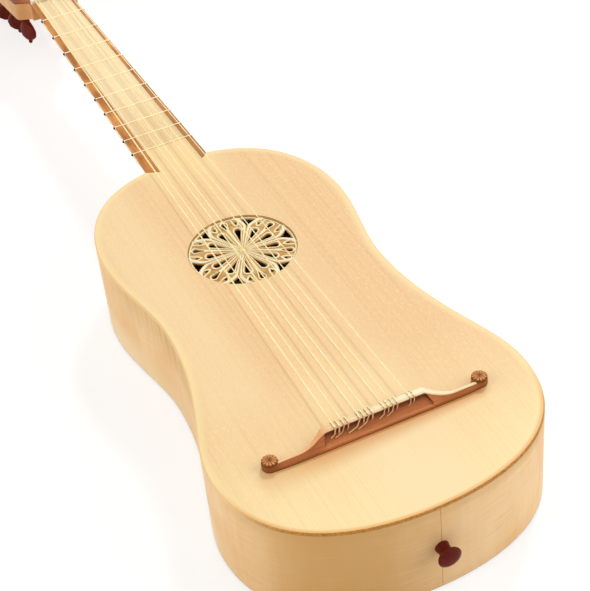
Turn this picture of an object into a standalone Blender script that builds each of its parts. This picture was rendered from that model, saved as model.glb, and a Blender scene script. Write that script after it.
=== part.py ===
"""Renaissance guitar with four courses, modelled piece by piece.

The guitar lies on its flat back. +Z points up out of the soundboard, +Y runs
towards the head and +X is the treble side. The origin is on the back's outer
face, under the centre of the rose. All lengths are in metres.
"""

import math

import bmesh
import bpy
from mathutils import Matrix, Vector

# Clearances
GLUE_GAP = 0.0003
STRING_GAP = 0.0003
PEG_CLEARANCE = 0.0003
FRET_CLEARANCE = 0.0003

# Body outline, half of it, as four cubic arcs between the places where it runs square
SHOULDER_Y = 0.1124
UPPER_BOUT_HALF_WIDTH = 0.0823
UPPER_BOUT_Y = 0.0285
WAIST_HALF_WIDTH = 0.0722
WAIST_Y = -0.0480
LOWER_BOUT_HALF_WIDTH = 0.0965
LOWER_BOUT_Y = -0.1722
TAIL_Y = -0.2491
SHOULDER_HANDLE = 0.0680
UPPER_BOUT_FRONT_HANDLE = 0.0324
UPPER_BOUT_REAR_HANDLE = 0.0275
WAIST_FRONT_HANDLE = 0.0229
WAIST_REAR_HANDLE = 0.0632
LOWER_BOUT_FRONT_HANDLE = 0.0314
LOWER_BOUT_REAR_HANDLE = 0.0623
TAIL_HANDLE = 0.0425
OUTLINE_STEPS = 10

# Body boards
BODY_DEPTH = 0.0634
SOUNDBOARD_THICKNESS = 0.0016
BACK_THICKNESS = 0.0024
RIB_THICKNESS = 0.0018

# Inner work
LINING_WIDTH = 0.0040
LINING_HEIGHT = 0.0070
NECK_BLOCK_HALF_WIDTH = 0.0300
NECK_BLOCK_LENGTH = 0.0320
TAIL_BLOCK_HALF_WIDTH = 0.0240
TAIL_BLOCK_LENGTH = 0.0140
BAR_WIDTH = 0.0060
SOUNDBOARD_BAR_HEIGHT = 0.0140
UPPER_SOUNDBOARD_BAR_Y = 0.0580
LOWER_SOUNDBOARD_BAR_Y = -0.0580
BACK_BAR_HEIGHT = 0.0110
UPPER_BACK_BAR_Y = 0.0560
MIDDLE_BACK_BAR_Y = -0.0480
LOWER_BACK_BAR_Y = -0.1500

# Rose
ROSE_RADIUS = 0.0344
ROSE_THICKNESS = 0.0012
ROSE_FLANGE = 0.0040
ROSE_SIDES = 60
PETAL_COUNT = 6
LONG_DROP_INNER = 0.0094
LONG_DROP_OUTER = 0.0231
LONG_DROP_WIDTH = 0.0040
SHORT_DROP_INNER = 0.0241
SHORT_DROP_OUTER = 0.0318
SHORT_DROP_WIDTH = 0.0031
RIM_OPENING_INNER = 0.0259
RIM_OPENING_OUTER = 0.0328
RIM_OPENING_WIDTH = 0.0118
RIM_OPENING_HOLLOW = 0.18
SMALL_OPENING_RADIUS = 0.0286
SMALL_OPENING_SIZE = 0.0013

# String length and frets
STRING_LENGTH = 0.5500
FRET_COUNT = 10
LAST_FRET_Y = 0.1345
FIRST_FRET_RADIUS = 0.00045
LAST_FRET_RADIUS = 0.00032
FRET_KNOT_RADIUS = 0.0010

# Neck and fingerboard; the bass edge strip is the wider one
JOINT_Y = 0.1100
PANEL_BASS_EDGE_AT_JOINT = 0.0136
PANEL_BASS_EDGE_AT_NUT = 0.0124
PANEL_TREBLE_EDGE_AT_JOINT = 0.0169
PANEL_TREBLE_EDGE_AT_NUT = 0.0132
NECK_HALF_AT_JOINT = 0.0220
NECK_HALF_AT_NUT = 0.0158
EDGE_TIP_Y = 0.1052
NECK_DEPTH_AT_NUT = 0.0170
NECK_DEPTH_AT_HEEL = 0.0215
NECK_SECTION_START = math.radians(22)
NECK_SECTION_STEPS = 12
HEEL_LENGTH = 0.0190
HEEL_FOOT_Z = 0.0020
NAIL_RADIUS = 0.0018
NAIL_HEAD_RADIUS = 0.0042
NAIL_HEAD_THICKNESS = 0.0015
NAIL_LENGTH = 0.0560
NAIL_DROP = 0.0160

# Nut
NUT_THICKNESS = 0.0050
NUT_RISE = 0.0021

# Head and pegs
HEAD_TILT = math.radians(9)
HEAD_THICKNESS = 0.0135
HEAD_VENEER_THICKNESS = 0.0015
HEAD_HALF_WIDTH = 0.0262
HEAD_TOP_HALF_WIDTH = 0.0278
HEAD_FLARE_START = 0.0050
HEAD_FLARE_END = 0.0170
HEAD_SIDE_END = 0.1270
HEAD_LENGTH = 0.1450
HEAD_CREST_HALF_WIDTH = 0.0150
FIRST_PEG_DISTANCE = 0.0260
PEG_PITCH = 0.0300
PEG_HALF_SPACING = 0.0180
PEG_SPREAD_PER_ROW = 0.0005
PEG_FRONT_RADIUS = 0.0033
PEG_REAR_RADIUS = 0.0038
PEG_FRONT_REACH = 0.0120
PEG_COLLAR_RADIUS = 0.0050
PEG_COLLAR_GAP = 0.0035
PEG_GRIP_HALF_WIDTH = 0.0095
PEG_GRIP_HALF_THICKNESS = 0.0030
PEG_GRIP_LENGTH = 0.0175
PEG_PIP_RADIUS = 0.0018
PEG_SIDES = 12
PEG_HOLE_SIDES = 20

# Bridge, measured from the soundboard's top face
BRIDGE_DEPTH = 0.0112
BRIDGE_HEIGHT = 0.0075
BRIDGE_TOP_DEPTH = 0.0045
BRIDGE_LEDGE_HEIGHT = 0.0019
BRIDGE_BLOCK_HALF_WIDTH = 0.0310
BRIDGE_ARM_HEIGHT = 0.0036
BRIDGE_ARM_SETBACK = 0.0076
BRIDGE_SWEEP_LENGTH = 0.0170
BRIDGE_RECESS_FLARE = 0.0024
BRIDGE_CAP_THICKNESS = 0.0007
BRIDGE_BUTTON_X = 0.0644
BRIDGE_BUTTON_SETBACK = 0.0058
BRIDGE_BUTTON_RADIUS = 0.0045
BRIDGE_BUTTON_THICKNESS = 0.0021
BRIDGE_PAD_RADIUS = 0.0047
BRIDGE_PAD_HEIGHT = 0.0030
STRING_HOLE_HEIGHT = 0.0042

# Strings, from the bass side to the treble side
STRING_RADII = (0.00045, 0.00034, 0.00040, 0.00040, 0.00034, 0.00034, 0.00030)
STRING_BRIDGE_X = (-0.0232, -0.0176, -0.0082, -0.0028, 0.0070, 0.0125, 0.0230)
STRING_NUT_X = (-0.0126, -0.0101, -0.0033, -0.0003, 0.0057, 0.0090, 0.0142)
STRING_HEIGHT_AT_BRIDGE = 0.0056
STRING_HEIGHT_AT_NUT = 0.0020
TIE_HALF_WIDTH = 0.0013
TIE_REACH = 0.0016
TIE_TAIL_LENGTHS = (0.0036, 0.0068, 0.0085, 0.0080, 0.0045, 0.0055, 0.0018)
TIE_TAIL_LEAST_BACK = 0.0006
WINDING_TURNS = 1.5
WINDING_LOOP_POINTS = 24
WINDING_HEIGHT = 0.0035
WINDING_PITCH = 0.0014

# End pin
END_PIN_DROP = 0.0310
END_PIN_SHAFT_RADIUS = 0.0036
END_PIN_HEAD_RADIUS = 0.0069
END_PIN_HEAD_THICKNESS = 0.0042
END_PIN_NECK_LENGTH = 0.0065
END_PIN_SIDES = 20

# Places that follow from the sizes
TOP_Z = BODY_DEPTH
UNDER_SOUNDBOARD_Z = TOP_Z - SOUNDBOARD_THICKNESS - GLUE_GAP
OVER_BACK_Z = BACK_THICKNESS + GLUE_GAP
BRIDGE_LINE_Y = LAST_FRET_Y - STRING_LENGTH / 2 ** (FRET_COUNT / 12)
NUT_Y = BRIDGE_LINE_Y + STRING_LENGTH
NECK_END_Y = NUT_Y + NUT_THICKNESS
HEAD_ORIGIN = Vector((0.0, NECK_END_Y + GLUE_GAP, UNDER_SOUNDBOARD_Z))
HEAD_DEPTH = HEAD_VENEER_THICKNESS + GLUE_GAP + HEAD_THICKNESS
BRIDGE_BASE_Z = TOP_Z + GLUE_GAP
BRIDGE_FRONT_Y = BRIDGE_LINE_Y + STRING_GAP
BRIDGE_REAR_Y = BRIDGE_FRONT_Y - BRIDGE_DEPTH
BRIDGE_ARM_FRONT_Y = BRIDGE_FRONT_Y - BRIDGE_ARM_SETBACK
BRIDGE_BUTTON_Y = BRIDGE_FRONT_Y - BRIDGE_BUTTON_SETBACK
END_PIN_Z = TOP_Z - END_PIN_DROP
NAIL_Z = TOP_Z - NAIL_DROP


def clear_scene():
    """Remove every object that the open file holds."""
    for old_object in list(bpy.data.objects):
        bpy.data.objects.remove(old_object, do_unlink=True)


clear_scene()
PARTS = bpy.data.collections.new("renaissance_guitar")
CUTTERS = bpy.data.collections.new("cutters")
bpy.context.scene.collection.children.link(PARTS)
bpy.context.scene.collection.children.link(CUTTERS)


def material(name, colour, roughness, metallic=0.0):
    """Return a plain Principled material."""
    finish = bpy.data.materials.new(name)
    finish.use_nodes = True
    shader = finish.node_tree.nodes["Principled BSDF"]
    shader.inputs["Base Color"].default_value = (*colour, 1.0)
    shader.inputs["Roughness"].default_value = roughness
    shader.inputs["Metallic"].default_value = metallic
    return finish


SPRUCE = material("spruce", (0.93, 0.72, 0.43), 0.55)
MAPLE = material("flamed_maple", (0.80, 0.56, 0.30), 0.45)
FRUITWOOD = material("fruitwood", (0.38, 0.13, 0.05), 0.40)
EDGE_WOOD = material("edge_wood", (0.52, 0.22, 0.08), 0.45)
PALE_WOOD = material("pale_wood", (0.90, 0.78, 0.55), 0.45)
TRACERY = material("tracery", (0.86, 0.72, 0.42), 0.60)
INNER_WOOD = material("inner_wood", (0.78, 0.60, 0.36), 0.70)
GUT = material("gut", (0.90, 0.80, 0.48), 0.35)
DARK_WOOD = material("dark_wood", (0.16, 0.03, 0.015), 0.35)
BONE = material("bone", (0.88, 0.83, 0.70), 0.35)
IRON = material("iron", (0.25, 0.24, 0.23), 0.50, 1.0)


def add_object(name, data, finish, collection=PARTS):
    """Put data in the scene as an object with one material."""
    new_object = bpy.data.objects.new(name, data)
    data.materials.append(finish)
    collection.objects.link(new_object)
    return new_object


def smooth(target, angle=math.radians(40)):
    """Shade a mesh object smooth, with its sharp edges kept."""
    target.data.shade_smooth()
    target.data.set_sharp_from_angle(angle=angle)


def meshed(curve_object):
    """Turn a curve object into a mesh object with welded caps."""
    bpy.context.view_layer.update()
    graph = bpy.context.evaluated_depsgraph_get()
    mesh = bpy.data.meshes.new_from_object(curve_object.evaluated_get(graph))
    shape = bmesh.new()
    shape.from_mesh(mesh)
    bmesh.ops.remove_doubles(shape, verts=shape.verts, dist=1e-6)
    bmesh.ops.recalc_face_normals(shape, faces=shape.faces)
    shape.to_mesh(mesh)
    shape.free()
    name = curve_object.name
    collection = curve_object.users_collection[0]
    world = curve_object.matrix_world.copy()
    bpy.data.objects.remove(curve_object, do_unlink=True)
    mesh_object = bpy.data.objects.new(name, mesh)
    mesh_object.matrix_world = world
    collection.objects.link(mesh_object)
    return mesh_object


def plate(name, outlines, low, high, finish, collection=PARTS):
    """Extrude flat outlines, the first one with the others as holes, from low to high."""
    curve = bpy.data.curves.new(name, "CURVE")
    curve.dimensions = "2D"
    curve.fill_mode = "BOTH"
    curve.extrude = (high - low) / 2
    for outline in outlines:
        spline = curve.splines.new("POLY")
        spline.points.add(len(outline) - 1)
        for point, place in zip(spline.points, outline):
            point.co = (place[0], place[1], 0.0, 1.0)
        spline.use_cyclic_u = True
    flat = add_object(name, curve, finish, collection)
    flat.location.z = (high + low) / 2
    return meshed(flat)


def tube(name, points, radius, finish, closed=False):
    """Sweep a six-sided round section along points."""
    curve = bpy.data.curves.new(name, "CURVE")
    curve.dimensions = "3D"
    curve.bevel_depth = radius
    curve.bevel_resolution = 1
    curve.use_fill_caps = not closed
    spline = curve.splines.new("POLY")
    spline.points.add(len(points) - 1)
    for point, place in zip(spline.points, points):
        point.co = (*place, 1.0)
    spline.use_cyclic_u = closed
    return add_object(name, curve, finish)


def loft(name, rings, finish):
    """Join rings of equally many points into one closed body."""
    shape = bmesh.new()
    ring_verts = [[shape.verts.new(place) for place in ring] for ring in rings]
    count = len(rings[0])
    for near, far in zip(ring_verts, ring_verts[1:]):
        for index in range(count):
            following = (index + 1) % count
            shape.faces.new((near[index], near[following], far[following], far[index]))
    shape.faces.new(ring_verts[0])
    shape.faces.new(ring_verts[-1])
    bmesh.ops.recalc_face_normals(shape, faces=shape.faces)
    mesh = bpy.data.meshes.new(name)
    shape.to_mesh(mesh)
    shape.free()
    return add_object(name, mesh, finish)


def turned(name, profile, sides, finish):
    """Turn a profile of (radius, height) pairs, given from the top down, about Z."""
    shape = bmesh.new()
    verts = [shape.verts.new((radius, 0.0, height)) for radius, height in profile]
    for upper, lower in zip(verts, verts[1:]):
        shape.edges.new((upper, lower))
    mesh = bpy.data.meshes.new(name)
    shape.to_mesh(mesh)
    shape.free()
    piece = add_object(name, mesh, finish)
    screw = piece.modifiers.new("turning", "SCREW")
    screw.steps = sides
    screw.render_steps = sides
    screw.use_merge_vertices = True
    screw.merge_threshold = 1e-6
    screw.use_smooth_shade = True
    return piece


def box(name, low, high, finish):
    """Make a box between two corners."""
    shape = bmesh.new()
    bmesh.ops.create_cube(shape, size=1.0)
    centre = (Vector(low) + Vector(high)) / 2
    spread = Vector(high) - Vector(low)
    for vert in shape.verts:
        vert.co = Vector(side * length for side, length in zip(vert.co, spread))
    mesh = bpy.data.meshes.new(name)
    shape.to_mesh(mesh)
    shape.free()
    piece = add_object(name, mesh, finish)
    piece.location = centre
    return piece


def cone_cutter(name, start, end, start_radius, end_radius, sides):
    """Make a round cutter, hidden in renders, whose ends lie at two points."""
    start = Vector(start)
    end = Vector(end)
    shape = bmesh.new()
    bmesh.ops.create_cone(shape, cap_ends=True, segments=sides, radius1=start_radius,
                          radius2=end_radius, depth=(end - start).length)
    mesh = bpy.data.meshes.new(name)
    shape.to_mesh(mesh)
    shape.free()
    cutter = bpy.data.objects.new(name, mesh)
    CUTTERS.objects.link(cutter)
    turn = Vector((0, 0, 1)).rotation_difference(end - start).to_matrix().to_4x4()
    cutter.matrix_world = Matrix.Translation((start + end) / 2) @ turn
    return hide(cutter)


def hide(cutter):
    """Keep a cutter out of renders."""
    cutter.hide_render = True
    cutter.display_type = "WIRE"
    return cutter


def combine(target, tool, operation="DIFFERENCE"):
    """Cut the tool out of the target, or join the two."""
    step = target.modifiers.new(tool.name, "BOOLEAN")
    step.operation = operation
    step.solver = "EXACT"
    step.object = tool


def mix(low, high, share):
    """Return the value at a share of the way from low to high."""
    return low + (high - low) * share


def cubic(start, start_handle, end_handle, end, steps):
    """Return points along a cubic arc, the last one left out."""
    points = []
    for step in range(steps):
        t = step / steps
        weights = ((1 - t) ** 3, 3 * t * (1 - t) ** 2, 3 * t * t * (1 - t), t ** 3)
        corners = (start, start_handle, end_handle, end)
        points.append(sum((Vector(c) * w for c, w in zip(corners, weights)), Vector((0, 0))))
    return points


def body_half_outline(inset=0.0, steps=OUTLINE_STEPS):
    """Return the treble half of the body outline, from the shoulder to the tail."""
    upper = (UPPER_BOUT_HALF_WIDTH, UPPER_BOUT_Y)
    waist = (WAIST_HALF_WIDTH, WAIST_Y)
    lower = (LOWER_BOUT_HALF_WIDTH, LOWER_BOUT_Y)
    points = cubic((0, SHOULDER_Y), (SHOULDER_HANDLE, SHOULDER_Y),
                   (upper[0], upper[1] + UPPER_BOUT_FRONT_HANDLE), upper, steps)
    points += cubic(upper, (upper[0], upper[1] - UPPER_BOUT_REAR_HANDLE),
                    (waist[0], waist[1] + WAIST_FRONT_HANDLE), waist, steps)
    points += cubic(waist, (waist[0], waist[1] - WAIST_REAR_HANDLE),
                    (lower[0], lower[1] + LOWER_BOUT_FRONT_HANDLE), lower, steps)
    points += cubic(lower, (lower[0], lower[1] - LOWER_BOUT_REAR_HANDLE),
                    (TAIL_HANDLE, TAIL_Y), (0, TAIL_Y), steps)
    points.append(Vector((0, TAIL_Y)))
    moved = []
    for index, point in enumerate(points):
        ahead = points[min(index + 1, len(points) - 1)]
        behind = points[max(index - 1, 0)]
        along = (ahead - behind).normalized()
        if index in (0, len(points) - 1):
            along = Vector((1, 0)) if index == 0 else Vector((-1, 0))
        inward = Vector((along.y, -along.x))
        moved.append(point + inward * inset)
    return moved


def outline_span(inset, front_x, tail_x):
    """Return the treble half outline between two distances from the centreline."""
    points = body_half_outline(inset)
    middle = len(points) // 2
    front = [point for point in points[:middle] if point.x > front_x]
    tail = [point for point in points[middle:] if point.x > tail_x]
    before = points[middle - len(front) - 1]
    after = points[middle + len(tail)]
    share = (front_x - before.x) / (front[0].x - before.x)
    front_end = before.lerp(front[0], share)
    share = (tail_x - after.x) / (tail[-1].x - after.x)
    tail_end = after.lerp(tail[-1], share)
    return [front_end] + front + tail + [tail_end]


def mirrored(points):
    """Return points on the other side of the centreline, in the opposite order."""
    return [Vector((-point.x, point.y)) for point in reversed(points)]


def half_width_at(y, inset):
    """Return the body outline's half width at a place along it."""
    points = body_half_outline(inset, steps=4 * OUTLINE_STEPS)
    for ahead, behind in zip(points, points[1:]):
        if ahead.y >= y >= behind.y:
            return mix(ahead.x, behind.x, (ahead.y - y) / (ahead.y - behind.y))
    return 0.0


def along_neck(y, at_joint, at_nut):
    """Return a width that tapers from the body joint to the nut."""
    return mix(at_joint, at_nut, (y - JOINT_Y) / (NUT_Y - JOINT_Y))


def panel_edge(y, side):
    """Return how far the panel reaches to one side, -1 for bass and 1 for treble."""
    if side < 0:
        return along_neck(y, PANEL_BASS_EDGE_AT_JOINT, PANEL_BASS_EDGE_AT_NUT)
    return along_neck(y, PANEL_TREBLE_EDGE_AT_JOINT, PANEL_TREBLE_EDGE_AT_NUT)


def neck_half(y):
    return along_neck(y, NECK_HALF_AT_JOINT, NECK_HALF_AT_NUT)


def fret_y(number):
    """Return a fret's place along the strings, in equal semitones."""
    return BRIDGE_LINE_Y + STRING_LENGTH / 2 ** (number / 12)


def make_soundboard():
    """Spruce board with the sound hole and the tongue between the edge strips."""
    notch_x = NECK_HALF_AT_JOINT + GLUE_GAP
    half = outline_span(0.0, notch_x, GLUE_GAP)
    half = half[:-1] + [Vector((0, TAIL_Y))]
    sides = []
    for side in (1, -1):
        tongue = [Vector((panel_edge(y, side), y)) for y in (LAST_FRET_Y, EDGE_TIP_Y)]
        sides.append(tongue + half)
    outline = sides[0] + mirrored(sides[1][:-1])
    hole = [Vector((ROSE_RADIUS * math.cos(angle), ROSE_RADIUS * math.sin(angle)))
            for angle in ring_angles(ROSE_SIDES)]
    board = plate("soundboard", [outline, hole], TOP_Z - SOUNDBOARD_THICKNESS, TOP_Z, SPRUCE)
    smooth(board)


def ring_angles(count, start=0.0):
    """Return equally spaced angles for a full turn."""
    return [start + 2 * math.pi * index / count for index in range(count)]


def turned_points(points, angle):
    """Turn flat points about the rose's centre."""
    turn = Matrix.Rotation(angle, 2)
    return [turn @ Vector(point) for point in points]


def drop_opening(inner, outer, width, angle):
    """Return a drop, pointed towards the hub and round at its outer end."""
    radius = width / 2
    centre = outer - radius
    steps = 6
    round_end = []
    for step in range(steps + 1):
        turn = math.radians(100) * (2 * step / steps - 1)
        round_end.append((centre + radius * math.cos(turn), radius * math.sin(turn)))
    return turned_points([(inner, 0.0)] + round_end, angle)


def rim_opening(angle):
    """Return a three-cornered opening with two hollow sides, its base along the rim."""
    half = RIM_OPENING_WIDTH / 2
    corner = math.sqrt(RIM_OPENING_OUTER ** 2 - half ** 2)
    apex = Vector((RIM_OPENING_INNER, 0.0))
    low = Vector((corner, -half))
    high = Vector((corner, half))
    centre = Vector((mix(RIM_OPENING_INNER, corner, 2 / 3), 0.0))
    low_side = low.lerp(apex, 0.5).lerp(centre, RIM_OPENING_HOLLOW)
    high_side = high.lerp(apex, 0.5).lerp(centre, RIM_OPENING_HOLLOW)
    rim = Vector((RIM_OPENING_OUTER, 0.0))
    return turned_points([low, low_side, apex, high_side, high, rim], angle)


def make_rose():
    """Tracery disc glued under the soundboard, pierced right through."""
    rim = ROSE_RADIUS + ROSE_FLANGE
    outlines = [[Vector((rim * math.cos(angle), rim * math.sin(angle)))
                 for angle in ring_angles(ROSE_SIDES)]]
    petal_turn = math.pi / PETAL_COUNT
    for angle in ring_angles(PETAL_COUNT):
        outlines.append(rim_opening(angle))
        outlines.append(drop_opening(SHORT_DROP_INNER, SHORT_DROP_OUTER, SHORT_DROP_WIDTH,
                                     angle + petal_turn))
    for angle in ring_angles(2 * PETAL_COUNT, petal_turn / 2):
        outlines.append(drop_opening(LONG_DROP_INNER, LONG_DROP_OUTER, LONG_DROP_WIDTH, angle))
        hole = [(SMALL_OPENING_RADIUS + SMALL_OPENING_SIZE * math.cos(turn),
                 SMALL_OPENING_SIZE * math.sin(turn)) for turn in ring_angles(3)]
        outlines.append(turned_points(hole, angle))
    plate("rose", outlines, UNDER_SOUNDBOARD_Z - ROSE_THICKNESS, UNDER_SOUNDBOARD_Z, TRACERY)


def bent_piece(name, side, inset, front_x, tail_x, low, high, thickness, finish):
    """Bend a strip along one side of the body, its outer face at the inset."""
    points = outline_span(inset + thickness, front_x, tail_x)
    outer = outline_span(inset, front_x, tail_x)
    wall = outer + list(reversed(points))
    if side < 0:
        wall = mirrored(wall)
    piece = plate(name, [wall], low, high, finish)
    smooth(piece)
    return piece


def make_ribs(pin_hole, nail_hole):
    """Bend the two ribs, which meet on the centreline at the tail and under the neck."""
    for name, side in (("rib_bass", -1), ("rib_treble", 1)):
        rib = bent_piece(name, side, 0.0, GLUE_GAP / 2, GLUE_GAP / 2, OVER_BACK_Z,
                         UNDER_SOUNDBOARD_Z, RIB_THICKNESS, MAPLE)
        combine(rib, pin_hole)
        combine(rib, nail_hole)


def make_linings():
    """Glue strips inside the ribs, where the soundboard and the back meet them."""
    inset = RIB_THICKNESS + GLUE_GAP
    front_x = NECK_BLOCK_HALF_WIDTH + GLUE_GAP
    tail_x = TAIL_BLOCK_HALF_WIDTH + GLUE_GAP
    levels = {
        "lining_top": (UNDER_SOUNDBOARD_Z - LINING_HEIGHT, UNDER_SOUNDBOARD_Z),
        "lining_back": (OVER_BACK_Z, OVER_BACK_Z + LINING_HEIGHT),
    }
    for level, (low, high) in levels.items():
        for side_name, side in (("bass", -1), ("treble", 1)):
            bent_piece(f"{level}_{side_name}", side, inset, front_x, tail_x, low, high,
                       LINING_WIDTH, INNER_WOOD)


def make_back():
    """One flat board of flamed maple."""
    half = body_half_outline()
    smooth(plate("back", [half + mirrored(half[1:-1])], 0.0, BACK_THICKNESS, MAPLE))


def make_bar(name, y, low, high, end_inset):
    """Lay a bar across the body, with its ends against the linings."""
    reach = min(half_width_at(y + side * BAR_WIDTH / 2, end_inset) for side in (-1, 1))
    return box(name, (-reach, y - BAR_WIDTH / 2, low), (reach, y + BAR_WIDTH / 2, high),
               INNER_WOOD)


def make_bars():
    """Cross bars under the soundboard and on the back."""
    inset = RIB_THICKNESS + LINING_WIDTH + 2 * GLUE_GAP
    top_bars = (("soundboard_bar_upper", UPPER_SOUNDBOARD_BAR_Y),
                ("soundboard_bar_lower", LOWER_SOUNDBOARD_BAR_Y))
    for name, y in top_bars:
        make_bar(name, y, UNDER_SOUNDBOARD_Z - SOUNDBOARD_BAR_HEIGHT, UNDER_SOUNDBOARD_Z, inset)
    back_bars = (("back_bar_upper", UPPER_BACK_BAR_Y), ("back_bar_middle", MIDDLE_BACK_BAR_Y),
                 ("back_bar_lower", LOWER_BACK_BAR_Y))
    for name, y in back_bars:
        make_bar(name, y, OVER_BACK_Z, OVER_BACK_Z + BACK_BAR_HEIGHT, inset)


def make_blocks(pin_hole, nail_hole):
    """Solid blocks inside the body, shaped to the ribs at the neck and the tail."""
    inner = body_half_outline(RIB_THICKNESS + GLUE_GAP)
    middle = len(inner) // 2
    front = [point for point in inner[:middle] if point.x < NECK_BLOCK_HALF_WIDTH]
    front.append(Vector((NECK_BLOCK_HALF_WIDTH,
                         outline_span(RIB_THICKNESS + GLUE_GAP, NECK_BLOCK_HALF_WIDTH, 0.0001)[0].y)))
    rear_y = JOINT_Y - NECK_BLOCK_LENGTH
    side = front + [Vector((NECK_BLOCK_HALF_WIDTH, rear_y))]
    neck_block = plate("neck_block", [side + mirrored(side[1:])], OVER_BACK_Z,
                       UNDER_SOUNDBOARD_Z, INNER_WOOD)
    combine(neck_block, nail_hole)
    tail = [point for point in inner[middle:] if point.x < TAIL_BLOCK_HALF_WIDTH]
    tail_end = outline_span(RIB_THICKNESS + GLUE_GAP, NECK_BLOCK_HALF_WIDTH, TAIL_BLOCK_HALF_WIDTH)[-1]
    inner_y = TAIL_Y + RIB_THICKNESS + GLUE_GAP + TAIL_BLOCK_LENGTH
    side = [Vector((TAIL_BLOCK_HALF_WIDTH, inner_y)), tail_end] + tail
    tail_block = plate("tail_block", [side + mirrored(side[:-1])], OVER_BACK_Z,
                       UNDER_SOUNDBOARD_Z, INNER_WOOD)
    combine(tail_block, pin_hole)


def neck_depth(y):
    """Return how far the neck reaches below its top face, with the heel's curve."""
    heel_start = JOINT_Y + HEEL_LENGTH
    if y >= heel_start:
        share = (y - heel_start) / (NUT_Y - heel_start)
        return mix(NECK_DEPTH_AT_HEEL, NECK_DEPTH_AT_NUT, share)
    share = min((heel_start - y) / HEEL_LENGTH, 1.0)
    full_depth = UNDER_SOUNDBOARD_Z - HEEL_FOOT_Z
    return mix(NECK_DEPTH_AT_HEEL, full_depth, 1 - math.sqrt(1 - share * share))


def neck_section(y, grow=0.0):
    """Return the neck's D section from the treble edge under the back to the bass edge."""
    width = neck_half(y) + grow
    depth = neck_depth(y) + grow
    start = NECK_SECTION_START
    points = []
    for step in range(NECK_SECTION_STEPS + 1):
        angle = mix(start, math.pi - start, step / NECK_SECTION_STEPS)
        across = width * math.cos(angle) / math.cos(start)
        down = depth * (math.sin(angle) - math.sin(start)) / (1 - math.sin(start))
        points.append(Vector((across, y, UNDER_SOUNDBOARD_Z - down)))
    return points


def make_neck(nail_hole):
    """Loft the neck from the nut to the heel and fit its foot to the ribs."""
    heel_start = JOINT_Y + HEEL_LENGTH
    heel_steps = 6
    places = [NECK_END_Y, fret_y(3), fret_y(7), heel_start]
    for step in range(1, heel_steps + 1):
        places.append(heel_start - HEEL_LENGTH * math.sin(math.pi / 2 * step / heel_steps))
    places.append(JOINT_Y - HEEL_LENGTH / 4)
    neck = loft("neck", [neck_section(y) for y in places], MAPLE)
    smooth(neck)
    outer = body_half_outline(-GLUE_GAP)
    body = hide(plate("body_cutter", [outer + mirrored(outer[1:-1])], -BODY_DEPTH,
                      2 * BODY_DEPTH, MAPLE, CUTTERS))
    combine(neck, body)
    combine(neck, nail_hole)


def make_neck_nail():
    """Nail driven from inside through the neck block into the neck."""
    head_top = NAIL_HEAD_THICKNESS
    profile = [(0.0, head_top), (NAIL_HEAD_RADIUS, head_top * 0.6), (NAIL_HEAD_RADIUS, 0.0),
               (NAIL_RADIUS, 0.0), (NAIL_RADIUS, -NAIL_LENGTH * 0.75), (0.0, -NAIL_LENGTH)]
    nail = turned("neck_nail", profile, 12, IRON)
    nail.location = (0.0, JOINT_Y - NECK_BLOCK_LENGTH - GLUE_GAP, NAIL_Z)
    nail.rotation_euler = (math.pi / 2, 0.0, 0.0)


def make_fingerboard():
    """Pale panel flush with the soundboard, and the strip along each of its edges."""
    low = TOP_Z - SOUNDBOARD_THICKNESS
    start = LAST_FRET_Y + GLUE_GAP
    end = NUT_Y - GLUE_GAP
    treble, bass = ([Vector((panel_edge(y, side), y)) for y in (start, end)]
                    for side in (1, -1))
    plate("fingerboard", [treble + mirrored(bass)], low, TOP_Z, SPRUCE)
    inner_tip = EDGE_TIP_Y + 2 * GLUE_GAP
    outer_tip = JOINT_Y + 2 * GLUE_GAP
    for name, side in (("bass", -1), ("treble", 1)):
        strip = [
            Vector((panel_edge(inner_tip, side) + GLUE_GAP, inner_tip)),
            Vector((neck_half(outer_tip), outer_tip)),
            Vector((neck_half(end), end)),
            Vector((panel_edge(end, side) + GLUE_GAP, end)),
        ]
        if side < 0:
            strip = mirrored(strip)
        plate(f"fingerboard_edge_{name}", [strip], low, TOP_Z, EDGE_WOOD)


def make_nut():
    """Bone nut with a slot for each string."""
    half = neck_half(NUT_Y)
    nut = box("nut", (-half, NUT_Y, UNDER_SOUNDBOARD_Z + GLUE_GAP),
              (half, NECK_END_Y, TOP_Z + NUT_RISE), BONE)
    for number, (x, radius) in enumerate(zip(STRING_NUT_X, STRING_RADII), 1):
        z = TOP_Z + STRING_HEIGHT_AT_NUT
        slot = cone_cutter(f"nut_slot_{number}", (x, NUT_Y - NUT_THICKNESS, z),
                           (x, NECK_END_Y + NUT_THICKNESS, z), radius + STRING_GAP,
                           radius + STRING_GAP, 8)
        combine(nut, slot)


def fret_radius(number):
    share = (number - 1) / (FRET_COUNT - 1)
    return mix(FIRST_FRET_RADIUS, LAST_FRET_RADIUS, share)


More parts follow.
